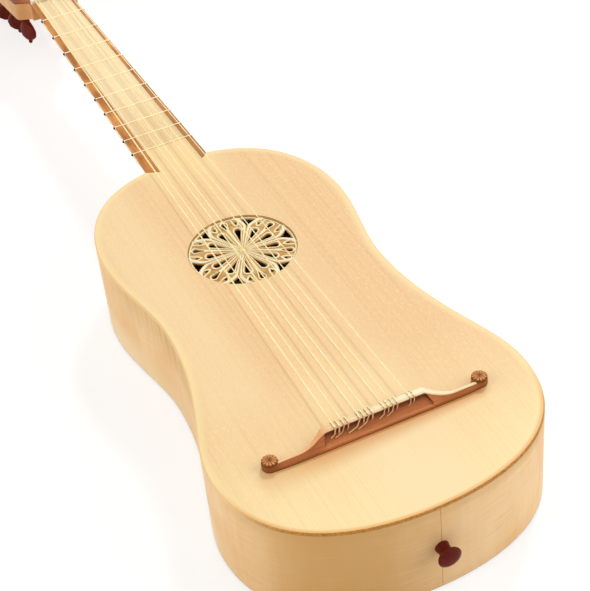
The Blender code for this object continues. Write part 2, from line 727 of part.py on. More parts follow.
def make_frets():
    """Gut loops tied round the neck, each with its knot at the bass edge."""
    for number in range(1, FRET_COUNT + 1):
        y = fret_y(number)
        radius = fret_radius(number)
        clear = radius + FRET_CLEARANCE
        top = TOP_Z + clear
        half = neck_half(y) + clear
        under = neck_section(y, clear)
        loop = [Vector((half - clear * 0.3, 0.0, top)), Vector((half, 0.0, top - clear))]
        loop += [Vector((place.x, 0.0, place.z)) for place in under]
        loop += [Vector((-half, 0.0, top - clear)), Vector((-half + clear * 0.3, 0.0, top))]
        name = f"fret_{number:02d}"
        fret = tube(name, loop, radius, GUT, closed=True)
        fret.location.y = y
        fret = meshed(fret)
        smooth(fret)
        shape = bmesh.new()
        bmesh.ops.create_uvsphere(shape, u_segments=8, v_segments=5, radius=FRET_KNOT_RADIUS)
        mesh = bpy.data.meshes.new(f"{name}_knot")
        shape.to_mesh(mesh)
        shape.free()
        knot = bpy.data.objects.new(f"{name}_knot", mesh)
        CUTTERS.objects.link(hide(knot))
        knot.location = (-half - FRET_KNOT_RADIUS / 2, y, top - clear)
        combine(fret, knot, "UNION")


def head_point(x, distance, height):
    """Return a world point from its place on the tilted face of the head."""
    along = Vector((0.0, math.cos(HEAD_TILT), -math.sin(HEAD_TILT)))
    out = Vector((0.0, math.sin(HEAD_TILT), math.cos(HEAD_TILT)))
    return HEAD_ORIGIN + Vector((x, 0.0, 0.0)) + along * distance + out * height


def peg_places():
    """Return each peg's (x, distance) on the head, in the order of the strings."""
    bass = [(-PEG_HALF_SPACING - PEG_SPREAD_PER_ROW * row, FIRST_PEG_DISTANCE + PEG_PITCH * row)
            for row in range(4)]
    treble = [(PEG_HALF_SPACING + PEG_SPREAD_PER_ROW * row,
               FIRST_PEG_DISTANCE + PEG_PITCH * (row + 0.5)) for row in range(3)]
    return bass + list(reversed(treble))


def head_outline():
    """Return the head's outline, seen square to its face."""
    start = (neck_half(NUT_Y), -HEAD_FLARE_END)
    cheek = (neck_half(NUT_Y), HEAD_FLARE_START)
    shoulder = (HEAD_HALF_WIDTH, HEAD_FLARE_END)
    flare = (HEAD_FLARE_END - HEAD_FLARE_START) / 2
    side_end = (HEAD_TOP_HALF_WIDTH, HEAD_SIDE_END)
    crest = (HEAD_CREST_HALF_WIDTH, mix(HEAD_SIDE_END, HEAD_LENGTH, 0.5))
    points = [Vector(start)]
    points += cubic(cheek, (cheek[0], cheek[1] + flare), (shoulder[0], shoulder[1] - flare),
                    shoulder, 5)
    points.append(Vector(shoulder))
    points += cubic(side_end, (side_end[0], crest[1]), (crest[0] + flare, crest[1] - flare / 2),
                    crest, 5)
    points += cubic(crest, (crest[0] - flare / 2, HEAD_LENGTH - flare / 2),
                    (HEAD_CREST_HALF_WIDTH / 2, HEAD_LENGTH), (0.0, HEAD_LENGTH), 5)
    return points + [Vector((0.0, HEAD_LENGTH))] + mirrored(points)


def make_head():
    """Flat tilted head with a veneer on its face, both bored for the pegs."""
    frame = bpy.data.objects.new("head_frame", None)
    frame.location = HEAD_ORIGIN
    frame.rotation_euler = (-HEAD_TILT, 0.0, 0.0)
    PARTS.objects.link(frame)
    outline = head_outline()
    head = plate("head", [outline], -HEAD_DEPTH, -HEAD_VENEER_THICKNESS - GLUE_GAP, MAPLE)
    veneer = plate("head_veneer", [outline], -HEAD_VENEER_THICKNESS, 0.0, FRUITWOOD)
    reach = 2 * HEAD_HALF_WIDTH
    square = [(-reach, HEAD_ORIGIN.y - reach), (reach, HEAD_ORIGIN.y - reach),
              (reach, HEAD_ORIGIN.y), (-reach, HEAD_ORIGIN.y)]
    neck_side = hide(plate("neck_side_cutter", [square], 0.0, 2 * BODY_DEPTH, MAPLE, CUTTERS))
    rear = PEG_REAR_RADIUS + PEG_CLEARANCE
    front = PEG_FRONT_RADIUS + PEG_CLEARANCE
    per_length = (rear - front) / HEAD_DEPTH
    past = HEAD_VENEER_THICKNESS
    bores = [cone_cutter(f"peg_bore_{number}", head_point(x, distance, -HEAD_DEPTH - past),
                         head_point(x, distance, past), rear + per_length * past,
                         front - per_length * past, PEG_HOLE_SIDES)
             for number, (x, distance) in enumerate(peg_places(), 1)]
    for piece in (head, veneer):
        piece.parent = frame
        combine(piece, neck_side)
        for bore in bores:
            combine(piece, bore)
    return frame


def peg_rings():
    """Return a peg's sections, from the pip on its grip to its front end."""
    rear = -HEAD_DEPTH
    collar = rear - PEG_COLLAR_GAP
    neck = collar - PEG_COLLAR_RADIUS * 0.4
    grip_end = neck - PEG_GRIP_LENGTH
    wide = PEG_GRIP_HALF_WIDTH
    thick = PEG_GRIP_HALF_THICKNESS
    pip = PEG_PIP_RADIUS
    front = PEG_FRONT_RADIUS
    sections = [
        (grip_end - pip * 1.6, pip * 0.5, pip * 0.5),
        (grip_end - pip * 0.9, pip, pip),
        (grip_end, pip * 0.8, pip * 0.8),
        (mix(grip_end, neck, 0.04), wide * 0.50, thick * 0.70),
        (mix(grip_end, neck, 0.18), wide * 0.88, thick * 0.90),
        (mix(grip_end, neck, 0.42), wide, thick),
        (mix(grip_end, neck, 0.66), wide * 0.80, thick),
        (mix(grip_end, neck, 0.86), wide * 0.44, thick * 1.05),
        (neck, thick * 1.1, thick * 1.1),
        (mix(neck, collar, 0.4), PEG_COLLAR_RADIUS, PEG_COLLAR_RADIUS),
        (mix(neck, collar, 0.8), PEG_COLLAR_RADIUS, PEG_COLLAR_RADIUS),
        (collar, PEG_REAR_RADIUS, PEG_REAR_RADIUS),
        (rear, PEG_REAR_RADIUS, PEG_REAR_RADIUS),
        (0.0, front, front),
        (PEG_FRONT_REACH * 0.92, front * 0.95, front * 0.95),
        (PEG_FRONT_REACH, front * 0.6, front * 0.6),
    ]
    rings = []
    for height, across, deep in sections:
        rings.append([Vector((across * math.cos(turn), deep * math.sin(turn), height))
                      for turn in ring_angles(PEG_SIDES)])
    return rings


def make_pegs(frame):
    """Seven tapered friction pegs, each with its origin on its own axis."""
    for number, (x, distance) in enumerate(peg_places(), 1):
        peg = loft(f"peg_{number}", peg_rings(), DARK_WOOD)
        smooth(peg)
        peg.parent = frame
        peg.location = (x, distance, 0.0)
        peg.rotation_euler = (0.0, 0.0, math.radians(90 + 25 * number))


def arm_share(x):
    """Return how far along an arm's sweep a place is, from 0 at the block to 1."""
    return min(max((abs(x) - BRIDGE_BLOCK_HALF_WIDTH) / BRIDGE_SWEEP_LENGTH, 0.0), 1.0)


def bridge_top(x):
    return mix(BRIDGE_ARM_HEIGHT, BRIDGE_HEIGHT, (1 - arm_share(x)) ** 2)


def bridge_front(x):
    return mix(BRIDGE_ARM_FRONT_Y, BRIDGE_FRONT_Y, (1 - arm_share(x)) ** 1.5)


def bridge_slope(height):
    """Return the place of the bridge's sloping rear face at a height."""
    top_rear = BRIDGE_FRONT_Y - BRIDGE_TOP_DEPTH
    share = (BRIDGE_HEIGHT - height) / (BRIDGE_HEIGHT - BRIDGE_LEDGE_HEIGHT)
    return mix(top_rear, BRIDGE_REAR_Y, share)


def bridge_rear(x):
    """Return the foot of the rear face, which runs into the pad's round end."""
    sweep_end = BRIDGE_BLOCK_HALF_WIDTH + BRIDGE_SWEEP_LENGTH
    share = min(max((abs(x) - sweep_end) / (BRIDGE_BUTTON_X - sweep_end), 0.0), 1.0)
    return mix(BRIDGE_REAR_Y, BRIDGE_BUTTON_Y - BRIDGE_PAD_RADIUS, share * share)


def bridge_section(x, recessed, flare=0.0):
    """Return the bridge's section, with the hollow behind the tie block or without it.

    The flare leans the lower points outwards, as the hollow's end walls lean.
    """
    seat = BRIDGE_CAP_THICKNESS + GLUE_GAP
    top = bridge_top(x) - seat
    front = bridge_front(x)
    rear = bridge_slope(bridge_top(x))
    foot = bridge_rear(x)
    ledge = BRIDGE_LEDGE_HEIGHT
    if recessed:
        shares = ((0.04, 0.60), (0.14, 0.28), (0.38, 0.10), (0.70, 0.03))
    else:
        shares = ((0.25, 0.75), (0.50, 0.50), (0.70, 0.30), (0.85, 0.15))
    section = [(0.0, front, 0.0), (0.0, front, top), (0.0, rear, top)]
    for back, up in shares:
        section.append((1 - up, mix(rear, foot, back), mix(ledge, top, up)))
    section += [(1.0, foot, ledge), (1.0, foot, 0.0)]
    return [Vector((x + math.copysign(flare * lean, x), y, BRIDGE_BASE_Z + z))
            for lean, y, z in section]


def bridge_places():
    """Return the places across the treble arm where the bridge's sections stand."""
    block = BRIDGE_BLOCK_HALF_WIDTH
    shares = (0.15, 0.32, 0.5, 0.7, 1.0)
    places = [block + BRIDGE_SWEEP_LENGTH * share for share in shares]
    places.append(BRIDGE_BUTTON_X - BRIDGE_PAD_RADIUS)
    return places


def make_bridge():
    """Bridge with its tie block, sweeping arms and the pads that hold the buttons."""
    block = BRIDGE_BLOCK_HALF_WIDTH
    flare = BRIDGE_RECESS_FLARE
    treble = [(block - GLUE_GAP, True, flare), (block, False, flare)]
    treble += [(x, False, 0.0) for x in bridge_places() + [BRIDGE_BUTTON_X]]
    bass = [(-x, recessed, lean) for x, recessed, lean in reversed(treble)]
    bridge = loft("bridge", [bridge_section(*place) for place in bass + treble], FRUITWOOD)
    for name, side in (("bass", -1), ("treble", 1)):
        centre = Vector((side * BRIDGE_BUTTON_X, BRIDGE_BUTTON_Y, BRIDGE_BASE_Z))
        pad = cone_cutter(f"bridge_pad_{name}", centre,
                          centre + Vector((0, 0, BRIDGE_PAD_HEIGHT)), BRIDGE_PAD_RADIUS,
                          BRIDGE_PAD_RADIUS, 20)
        combine(bridge, pad, "UNION")
    for number, (x, radius) in enumerate(zip(STRING_BRIDGE_X, STRING_RADII), 1):
        z = TOP_Z + STRING_HOLE_HEIGHT
        hole = cone_cutter(f"string_hole_{number}", (x, BRIDGE_FRONT_Y + BRIDGE_TOP_DEPTH, z),
                           (x, BRIDGE_REAR_Y - BRIDGE_TOP_DEPTH, z), radius + STRING_GAP,
                           radius + STRING_GAP, 8)
        combine(bridge, hole)


def make_bridge_cap():
    """Thin pale strip along the top of the tie block and the arms."""
    block = BRIDGE_BLOCK_HALF_WIDTH
    treble = [block] + bridge_places()[:-1]
    treble.append(BRIDGE_BUTTON_X - BRIDGE_BUTTON_RADIUS - GLUE_GAP)
    rings = []
    for x in [-x for x in reversed(treble)] + treble:
        top = BRIDGE_BASE_Z + bridge_top(x)
        low = top - BRIDGE_CAP_THICKNESS
        front = bridge_front(x)
        rear = bridge_slope(bridge_top(x))
        rings.append([Vector((x, front, low)), Vector((x, front, top)), Vector((x, rear, top)),
                      Vector((x, rear, low))])
    loft("bridge_cap", rings, PALE_WOOD)


def make_bridge_buttons():
    """Round buttons glued on the ends of the arms."""
    radius = BRIDGE_BUTTON_RADIUS
    thick = BRIDGE_BUTTON_THICKNESS
    profile = [(0.0, thick), (radius * 0.6, thick * 0.97), (radius * 0.92, thick * 0.85),
               (radius, thick * 0.65), (radius, 0.0), (0.0, 0.0)]
    for name, side in (("bass", -1), ("treble", 1)):
        button = turned(f"bridge_button_{name}", profile, 20, FRUITWOOD)
        button.location = (side * BRIDGE_BUTTON_X, BRIDGE_BUTTON_Y,
                           BRIDGE_BASE_Z + BRIDGE_PAD_HEIGHT + GLUE_GAP)


def bridge_tie(x, radius, tail):
    """Return the route of a string's tie, from its tail end to the front of the bridge.

    The tail hangs down into the hollow behind the tie block and leans towards the bass.
    """
    hole = TOP_Z + STRING_HOLE_HEIGHT
    over = BRIDGE_BASE_Z + BRIDGE_HEIGHT + STRING_GAP + radius
    front = BRIDGE_FRONT_Y + STRING_GAP + radius
    rear = bridge_slope(BRIDGE_HEIGHT) - STRING_GAP - radius
    half = TIE_HALF_WIDTH
    back = TIE_TAIL_LEAST_BACK + tail * 0.22
    fall = (over - hole) / 2
    ahead = front + TIE_REACH
    under = hole - radius - STRING_GAP
    sounding = TOP_Z + STRING_HEIGHT_AT_BRIDGE
    return [
        (x - half - tail, rear - back, hole - tail * 0.1),
        (x - half - tail * 0.3, rear - back * 0.6, hole + fall * 0.4),
        (x - half, rear, over - radius),
        (x - half, rear + 2 * radius, over),
        (x - half, front - 2 * radius, over),
        (x - half, front, over - radius),
        (x - half, ahead - radius, mix(over, sounding, 0.7)),
        (x - half * 0.8, ahead, under + radius),
        (x, ahead, under),
        (x + half * 0.8, ahead, under + radius),
        (x + half, ahead - radius, mix(over, sounding, 0.7)),
        (x + half, front, over - radius),
        (x + half, front - 2 * radius, over),
        (x + half, rear + 2 * radius, over),
        (x + half * 0.8, rear, over - radius),
        (x + half * 0.3, rear - radius * 2, mix(hole, over, 0.4)),
        (x, rear - radius, hole),
        (x, BRIDGE_FRONT_Y, hole),
        (x, front + radius, mix(hole, sounding, 0.4)),
        (x, BRIDGE_LINE_Y + 4 * TIE_REACH, sounding),
    ]


def peg_winding(nut_exit, x, distance, radius):
    """Return the route of a string from behind the nut round its peg."""
    post = PEG_FRONT_RADIUS + STRING_GAP + radius
    side = 1 if x < 0 else -1
    start = Vector((nut_exit.x, nut_exit.y - HEAD_ORIGIN.y))
    centre = Vector((x, distance))
    towards = start - centre
    approach = math.atan2(towards.y, towards.x)
    touch = approach + side * math.acos(post / towards.length)
    points = []
    for step in range(round(WINDING_TURNS * WINDING_LOOP_POINTS) + 1):
        turn = step / WINDING_LOOP_POINTS
        angle = touch + side * 2 * math.pi * turn
        points.append(head_point(x + post * math.cos(angle), distance + post * math.sin(angle),
                                 WINDING_HEIGHT + WINDING_PITCH * turn))
    return points


def least_gap(points, radius):
    """Return the least gap between stretches of a tube that lie apart along it."""
    places = [Vector(point) for point in points]
    reach = 6 * radius
    travelled = [0.0]
    for near, far in zip(places, places[1:]):
        travelled.append(travelled[-1] + (far - near).length)
    least = math.inf
    for index, place in enumerate(places):
        for other in range(index + 1, len(places)):
            if travelled[other] - travelled[index] > reach:
                least = min(least, (place - places[other]).length)
    return least - 2 * radius


def make_strings():
    """Gut strings, each whole from its tie on the bridge to its turns round the peg."""
    specs = zip(STRING_RADII, STRING_BRIDGE_X, TIE_TAIL_LENGTHS, STRING_NUT_X, peg_places())
    for number, (radius, bridge_x, tail, nut_x, peg) in enumerate(specs, 1):
        height = TOP_Z + STRING_HEIGHT_AT_NUT
        nut_exit = Vector((nut_x, NECK_END_Y, height))
        tie = bridge_tie(bridge_x, radius, tail)
        winding = peg_winding(nut_exit, *peg, radius)
        route = tie + [(nut_x, NUT_Y, height), nut_exit] + winding
        string = tube(f"string_{number}", route, radius, GUT)
        print(f"{string.name}: least gap {least_gap(tie, radius) * 1000:.2f} mm in the tie, "
              f"{least_gap(winding, radius) * 1000:.2f} mm in the turns")


def make_end_pin():
    """Turned pin, pushed into the tail block through the ribs' joint."""
    shaft = END_PIN_SHAFT_RADIUS
    head = END_PIN_HEAD_RADIUS
    neck = END_PIN_NECK_LENGTH
    top = neck + END_PIN_HEAD_THICKNESS
    inner = -RIB_THICKNESS - TAIL_BLOCK_LENGTH
    profile = [
        (0.0, top), (head * 0.55, top - head * 0.06), (head * 0.88, top - head * 0.18),
        (head, mix(neck, top, 0.5)), (head * 0.88, mix(neck, top, 0.15)), (shaft * 1.12, neck),
        (shaft * 1.04, neck * 0.7), (shaft * 1.08, neck * 0.3), (shaft * 1.16, neck * 0.12),
        (shaft * 1.16, GLUE_GAP), (shaft, GLUE_GAP), (shaft * 0.92, inner), (0.0, inner),
    ]
    pin = turned("end_pin", profile, END_PIN_SIDES, DARK_WOOD)
    pin.location = (0.0, TAIL_Y, END_PIN_Z)
    pin.rotation_euler = (math.pi / 2, 0.0, 0.0)


def main():
    """Build every piece of the guitar."""
    reach = TAIL_BLOCK_LENGTH + BODY_DEPTH
    pin_bore = END_PIN_SHAFT_RADIUS + GLUE_GAP
    pin_hole = cone_cutter("end_pin_bore", (0.0, TAIL_Y - reach, END_PIN_Z),
                           (0.0, TAIL_Y + reach, END_PIN_Z), pin_bore, pin_bore, END_PIN_SIDES)
    nail_bore = NAIL_RADIUS + GLUE_GAP
    nail_start = JOINT_Y - NECK_BLOCK_LENGTH - BODY_DEPTH
    nail_end = JOINT_Y - NECK_BLOCK_LENGTH + NAIL_LENGTH + GLUE_GAP
    nail_hole = cone_cutter("nail_bore", (0.0, nail_start, NAIL_Z), (0.0, nail_end, NAIL_Z),
                            nail_bore, nail_bore, 12)
    make_soundboard()
    make_rose()
    make_ribs(pin_hole, nail_hole)
    make_linings()
    make_back()
    make_bars()
    make_blocks(pin_hole, nail_hole)
    make_neck(nail_hole)
    make_neck_nail()
    make_fingerboard()
    make_nut()
    make_frets()
    frame = make_head()
    make_pegs(frame)
    make_bridge()
    make_bridge_cap()
    make_bridge_buttons()
    make_strings()
    make_end_pin()
    bpy.context.view_layer.update()


main()
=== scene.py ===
import math

import bmesh
import bpy
from mathutils import Matrix, Vector


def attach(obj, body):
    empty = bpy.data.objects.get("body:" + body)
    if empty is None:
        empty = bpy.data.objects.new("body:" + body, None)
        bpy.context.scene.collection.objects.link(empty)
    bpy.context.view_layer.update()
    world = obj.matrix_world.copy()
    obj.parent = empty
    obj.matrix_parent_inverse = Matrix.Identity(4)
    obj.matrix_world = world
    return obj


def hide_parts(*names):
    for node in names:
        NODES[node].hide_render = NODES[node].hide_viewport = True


# The guitar lies on its flat back. +Z points up out of the soundboard, +Y runs towards
# the head and +X is the treble side. The origin is on the back's outer face, under the
# centre of the rose. All lengths are in metres.

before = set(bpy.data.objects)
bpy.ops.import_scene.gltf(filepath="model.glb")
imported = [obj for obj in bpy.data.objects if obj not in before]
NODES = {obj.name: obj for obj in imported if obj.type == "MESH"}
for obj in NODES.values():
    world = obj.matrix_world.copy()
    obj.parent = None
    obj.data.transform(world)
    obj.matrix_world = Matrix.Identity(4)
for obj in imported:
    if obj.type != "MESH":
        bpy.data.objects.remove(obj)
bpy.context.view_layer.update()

# Body outline, half of it, as four cubic arcs between the places where it runs square
SHOULDER_Y = 0.1124
UPPER_BOUT = Vector((0.0823, 0.0285))
WAIST = Vector((0.0722, -0.0480))
LOWER_BOUT = Vector((0.0965, -0.1722))
TAIL_Y = -0.2491
SHOULDER_HANDLE = 0.0680
UPPER_BOUT_HANDLES = (0.0324, 0.0275)
WAIST_HANDLES = (0.0229, 0.0632)
LOWER_BOUT_HANDLES = (0.0314, 0.0623)
TAIL_HANDLE = 0.0425
OUTLINE_STEPS = 36

# Levels of the body's boards
TOP_Z = 0.0634
SOUNDBOARD_THICKNESS = 0.0016
BACK_THICKNESS = 0.0024
RIB_THICKNESS = 0.0018
GLUE_GAP = 0.0003
UNDER_SOUNDBOARD_Z = TOP_Z - SOUNDBOARD_THICKNESS - GLUE_GAP
EDGE_LINE_HEIGHT = 0.0017
BACK_LINE_HEIGHT = 0.0006
EASED_EDGE = 0.0008
RIM_WIDTH = 0.0082
RIM_NAME = "rim"

# Neck and fingerboard
JOINT_Y = 0.1100
NUT_Y = 0.375823
LAST_FRET_Y = 0.1345
EDGE_TIP_Y = 0.1052
NECK_HALVES = (0.0220, 0.0158)
PANEL_BASS_EDGES = (0.0136, 0.0124)
PANEL_TREBLE_EDGES = (0.0169, 0.0132)

# Rose: the openings in its plate, and the carved ridges round them
ROSE_RADIUS = 0.0344
ROSE_TOP_Z = UNDER_SOUNDBOARD_Z
PETAL_COUNT = 6
LONG_DROP = (0.0094, 0.0231, 0.0040)
SHORT_DROP = (0.0241, 0.0318, 0.0031)
RIM_OPENING_INNER = 0.0259
RIM_OPENING_OUTER = 0.0328
RIM_OPENING_WIDTH = 0.0118
SMALL_OPENING_RADIUS = 0.0286
RIDGE_SINK = 0.0001
RIDGE_STEPS = 6
COLLAR_WIDTH = 0.0016
COLLAR_HEIGHT = 0.00070
ARCH_HEIGHT = 0.00090
SMALL_RIDGE_HEIGHT = 0.00055
HUB_RADIUS = 0.0028
HUB_HEIGHT = 0.0011

# Bridge
STRING_GAP = 0.0003
STRING_BRIDGE_X = (-0.0232, -0.0176, -0.0082, -0.0028, 0.0070, 0.0125, 0.0230)
TIE_HALF_WIDTH = 0.0013
BRIDGE_LINE_Y = -0.174177
BRIDGE_DEPTH = 0.0112
BRIDGE_HEIGHT = 0.0075
BRIDGE_TOP_DEPTH = 0.0045
BRIDGE_LEDGE_HEIGHT = 0.0019
BRIDGE_BLOCK_HALF_WIDTH = 0.0310
BRIDGE_ARM_HEIGHT = 0.0036
BRIDGE_ARM_SETBACK = 0.0076
BRIDGE_SWEEP_LENGTH = 0.0170
BRIDGE_RECESS_FLARE = 0.0024
BRIDGE_CAP_THICKNESS = 0.0007
BRIDGE_BUTTON_X = 0.0644
BRIDGE_BUTTON_SETBACK = 0.0058
BRIDGE_BUTTON_RADIUS = 0.0045
BRIDGE_BUTTON_THICKNESS = 0.0021
BRIDGE_PAD_RADIUS = 0.0047
BRIDGE_PAD_HEIGHT = 0.0030
BRIDGE_BASE_Z = TOP_Z + GLUE_GAP
BRIDGE_FRONT_Y = BRIDGE_LINE_Y + STRING_GAP
BRIDGE_REAR_Y = BRIDGE_FRONT_Y - BRIDGE_DEPTH
BRIDGE_TIE_REAR_Y = BRIDGE_FRONT_Y - BRIDGE_TOP_DEPTH
BRIDGE_ARM_FRONT_Y = BRIDGE_FRONT_Y - BRIDGE_ARM_SETBACK
BRIDGE_BUTTON_Y = BRIDGE_FRONT_Y - BRIDGE_BUTTON_SETBACK
BUTTON_GROOVES = 12
BUTTON_GROOVE_DEPTH = 0.00045

# End pin
END_PIN_Z = TOP_Z - 0.0310
END_PIN_SHAFT_RADIUS = 0.0036
END_PIN_HEAD_RADIUS = 0.0069
END_PIN_HEAD_THICKNESS = 0.0042
END_PIN_NECK_LENGTH = 0.0065

# Camera, found by matching the rose's circle, the frets, the bridge and the outline
IMAGE_WIDTH = 590
IMAGE_HEIGHT = 591
FOCAL_PIXELS = 1553.287
IMAGE_CENTRE = (294.718, 294.564)
CAMERA_AZIMUTH = -0.379464
CAMERA_ELEVATION = 0.694684
CAMERA_ROLL = -0.106382
CAMERA_DISTANCE = 0.934981
CAMERA_TARGET = Vector((0.008753, -0.057652, TOP_Z))


class Number:
    """A value that varies over a surface, with arithmetic that adds Math nodes."""

    def __init__(self, finish, socket):
        self.finish = finish
        self.socket = socket

    def __add__(self, other):
        return self.finish.math("ADD", self, other)

    def __radd__(self, other):
        return self.finish.math("ADD", other, self)

    def __sub__(self, other):
        return self.finish.math("SUBTRACT", self, other)

    def __rsub__(self, other):
        return self.finish.math("SUBTRACT", other, self)

    def __mul__(self, other):
        return self.finish.math("MULTIPLY", self, other)

    def __rmul__(self, other):
        return self.finish.math("MULTIPLY", other, self)

    def __truediv__(self, other):
        return self.finish.math("DIVIDE", self, other)

    def __pow__(self, other):
        return self.finish.math("POWER", self, other)

    def __abs__(self):
        return self.finish.math("ABSOLUTE", self)

    def between(self, low, high):
        """Rise smoothly from 0 at low to 1 at high."""
        return self.finish.value("ShaderNodeMapRange", {"interpolation_type": "SMOOTHSTEP"},
                                 {0: self, 1: low, 2: high, 3: 0.0, 4: 1.0})


class Finish:
    """A node material while it is being put together."""

    def __init__(self, name, roughness=0.5, specular=0.3, metallic=0.0):
        self.material = bpy.data.materials.new(name)
        self.material.use_nodes = True
        self.tree = self.material.node_tree
        self.shader = self.tree.nodes["Principled BSDF"]
        self.shader.inputs["Roughness"].default_value = roughness
        self.shader.inputs["Specular IOR Level"].default_value = specular
        self.shader.inputs["Metallic"].default_value = metallic

    def feed(self, socket, value):
        """Link a socket, or set it where the value is plain."""
        if isinstance(value, Number):
            value = value.socket
        if isinstance(value, bpy.types.NodeSocket):
            self.tree.links.new(value, socket)
        elif socket.type == "RGBA" and len(value) == 3:
            socket.default_value = (*value, 1.0)
        else:
            socket.default_value = value

    def node(self, kind, settings=None, inputs=None):
        """Add a node: its settings first, then its sockets' values or links."""
        node = self.tree.nodes.new(kind)
        for name, setting in (settings or {}).items():
            if name == "stops":
                self.set_stops(node.color_ramp, setting)
            else:
                setattr(node, name, setting)
        for key, value in (inputs or {}).items():
            self.feed(node.inputs[key], value)
        return node

    def set_stops(self, ramp, stops):
        for extra in range(len(stops) - len(ramp.elements)):
            ramp.elements.new(0.5)
        for element, (position, colour) in zip(ramp.elements, stops):
            element.position = position
            element.color = (*colour, 1.0)

    def value(self, kind, settings=None, inputs=None, output=0):
        return Number(self, self.node(kind, settings, inputs).outputs[output])

    def math(self, operation, *values):
        return self.value("ShaderNodeMath", {"operation": operation}, dict(enumerate(values)))

    def place(self):
        """Return the surface's x, y and z in the guitar's own frame."""
        socket = self.node("ShaderNodeTexCoord").outputs["Object"]
        parts = self.node("ShaderNodeSeparateXYZ", inputs={0: socket})
        return [Number(self, output) for output in parts.outputs]

    def vector(self, x, y, z):
        return self.node("ShaderNodeCombineXYZ", inputs={0: x, 1: y, 2: z}).outputs[0]

    def noise(self, x, y, z, detail=2.0, roughness=0.5):
        """Return soft noise, with about one patch to each unit of its coordinates."""
        return self.value("ShaderNodeTexNoise", {"noise_dimensions": "3D"}, {
            "Vector": self.vector(x, y, z), "Scale": 1.0, "Detail": detail,
            "Roughness": roughness})

    def blend(self, low, high, share):
        """Mix two colours."""
        node = self.node("ShaderNodeMix", {"data_type": "RGBA"}, {0: share, 6: low, 7: high})
        return node.outputs[2]

    def ramp(self, value, stops):
        node = self.node("ShaderNodeValToRGB", {"stops": stops}, {0: value})
        return node.outputs[0]

    def colour(self, colour):
        self.feed(self.shader.inputs["Base Color"], colour)

    def rough(self, value):
        self.feed(self.shader.inputs["Roughness"], value)

    def let_light_in(self, depth):
        """Let light spread inside the stuff, so that the side in shade stays pale."""
        self.shader.inputs["Subsurface Weight"].default_value = 0.8
        self.shader.inputs["Subsurface Radius"].default_value = (1.0, 0.9, 0.7)
        self.shader.inputs["Subsurface Scale"].default_value = depth

    def glow(self, colour, strength):
        self.feed(self.shader.inputs["Emission Color"], colour)
        self.shader.inputs["Emission Strength"].default_value = strength

    def bump(self, height, distance, strength=0.5):
        node = self.node("ShaderNodeBump", inputs={
            "Height": height, "Distance": distance, "Strength": strength})
        self.feed(self.shader.inputs["Normal"], node.outputs[0])


def linear(red, green, blue):
    """Turn a colour as it is seen, from 0 to 255, into light values."""
    shares = (red / 255, green / 255, blue / 255)
    return tuple(s / 12.92 if s <= 0.04045 else ((s + 0.055) / 1.055) ** 2.4 for s in shares)


def start_spruce(name, near, far, span, grain):
    """Oiled spruce: fine growth lines along Y, slow patches, and two tones along the board.

    The tone changes from far to near over a span of Y.
    """
    finish = Finish(name, specular=0.25)
    x, y, z = finish.place()
    wander = finish.noise(x * 14, y * 5, z * 14, detail=1.0) - 0.5
    across = x + wander * 0.0012
    rings = finish.noise(across * 1250, y * 4.0, z * 40, detail=1.0)
    late = rings.between(0.40, 0.72) * (0.45 + y.between(-0.22, -0.04) * 0.55) * grain
    fleck = finish.noise(x * 1500, y * 260, z * 300, detail=2.0, roughness=0.6)
    patch = finish.noise(x * 26, y * 13, z * 9, detail=3.0)
    share = y.between(*span) + (patch - 0.5) * 0.7
    body = finish.blend(far, near, share)
    body = finish.blend(body, tuple(c * f for c, f in zip(near, (0.86, 0.75, 0.62))), late)
    body = finish.blend(body, tuple(min(c * 1.04, 1.0) for c in far),
                        fleck.between(0.50, 0.72) * 0.5)
    finish.rough(0.46 + late * 0.10 + (patch - 0.5) * 0.08)
    finish.bump(rings + fleck * 0.5, 0.00005, 0.3)
    return finish, body


def make_board_spruce():
    """Soundboard's spruce: paler in the middle and at the bass side, with a painted highlight at the
    rim.

    It is golden at the tail's edge, and a painted shadow lies behind the bridge. The mesh's value
    named rim rises towards the edge.
    """
    far = linear(254, 229, 172)
    finish, body = start_spruce("soundboard_spruce", linear(243, 203, 151), far,
                                (-0.250, -0.105), 0.34)
    x, y, z = finish.place()
    rim = finish.value("ShaderNodeAttribute", {"attribute_name": RIM_NAME}, output=2)
    middle = 1 - abs(x - 0.004).between(0.012, 0.044)
    bass = (1 - abs(x + 0.060).between(0.008, 0.032)) * y.between(-0.165, -0.120)
    nearby = 1 - y.between(-0.150, -0.110)
    body = finish.blend(body, linear(252, 228, 180), middle * (0.34 + nearby * 0.3) + bass * 0.5)
    tongue = y.between(0.060, 0.110) * (1 - abs(x).between(0.019, 0.034))
    # painted highlight: the board grows paler towards its rim; the tongue by the neck is paler too
    body = finish.blend(body, far, rim.between(0.25, 0.9) * 0.7 + tongue * 0.5)
    tail = 1 - y.between(-0.215, -0.170)
    body = finish.blend(body, linear(240, 184, 114), rim.between(0.58, 0.98) * tail * 0.9)
    # painted shadow of the bridge on the board behind it, longer towards the bass end
    behind = (BRIDGE_REAR_Y - y) / (0.0125 - x * 0.09)
    beside = x.between(-0.078, -0.070) * (1 - x.between(0.060, 0.070))
    painted_bridge_shadow = (1 - behind.between(0.0, 1.15)) * behind.between(-0.25, 0.0) * beside
    strength = 0.45 + x.between(-0.070, -0.030) * 0.45
    finish.colour(finish.blend(body, linear(222, 162, 98), painted_bridge_shadow * strength))
    return finish.material


def make_panel_spruce():
    """Fingerboard's spruce, darker towards the body."""
    finish, body = start_spruce("panel_spruce", linear(241, 212, 162), linear(255, 236, 196),
                                (0.240, 0.135), 0.48)
    finish.colour(body)
    return finish.material


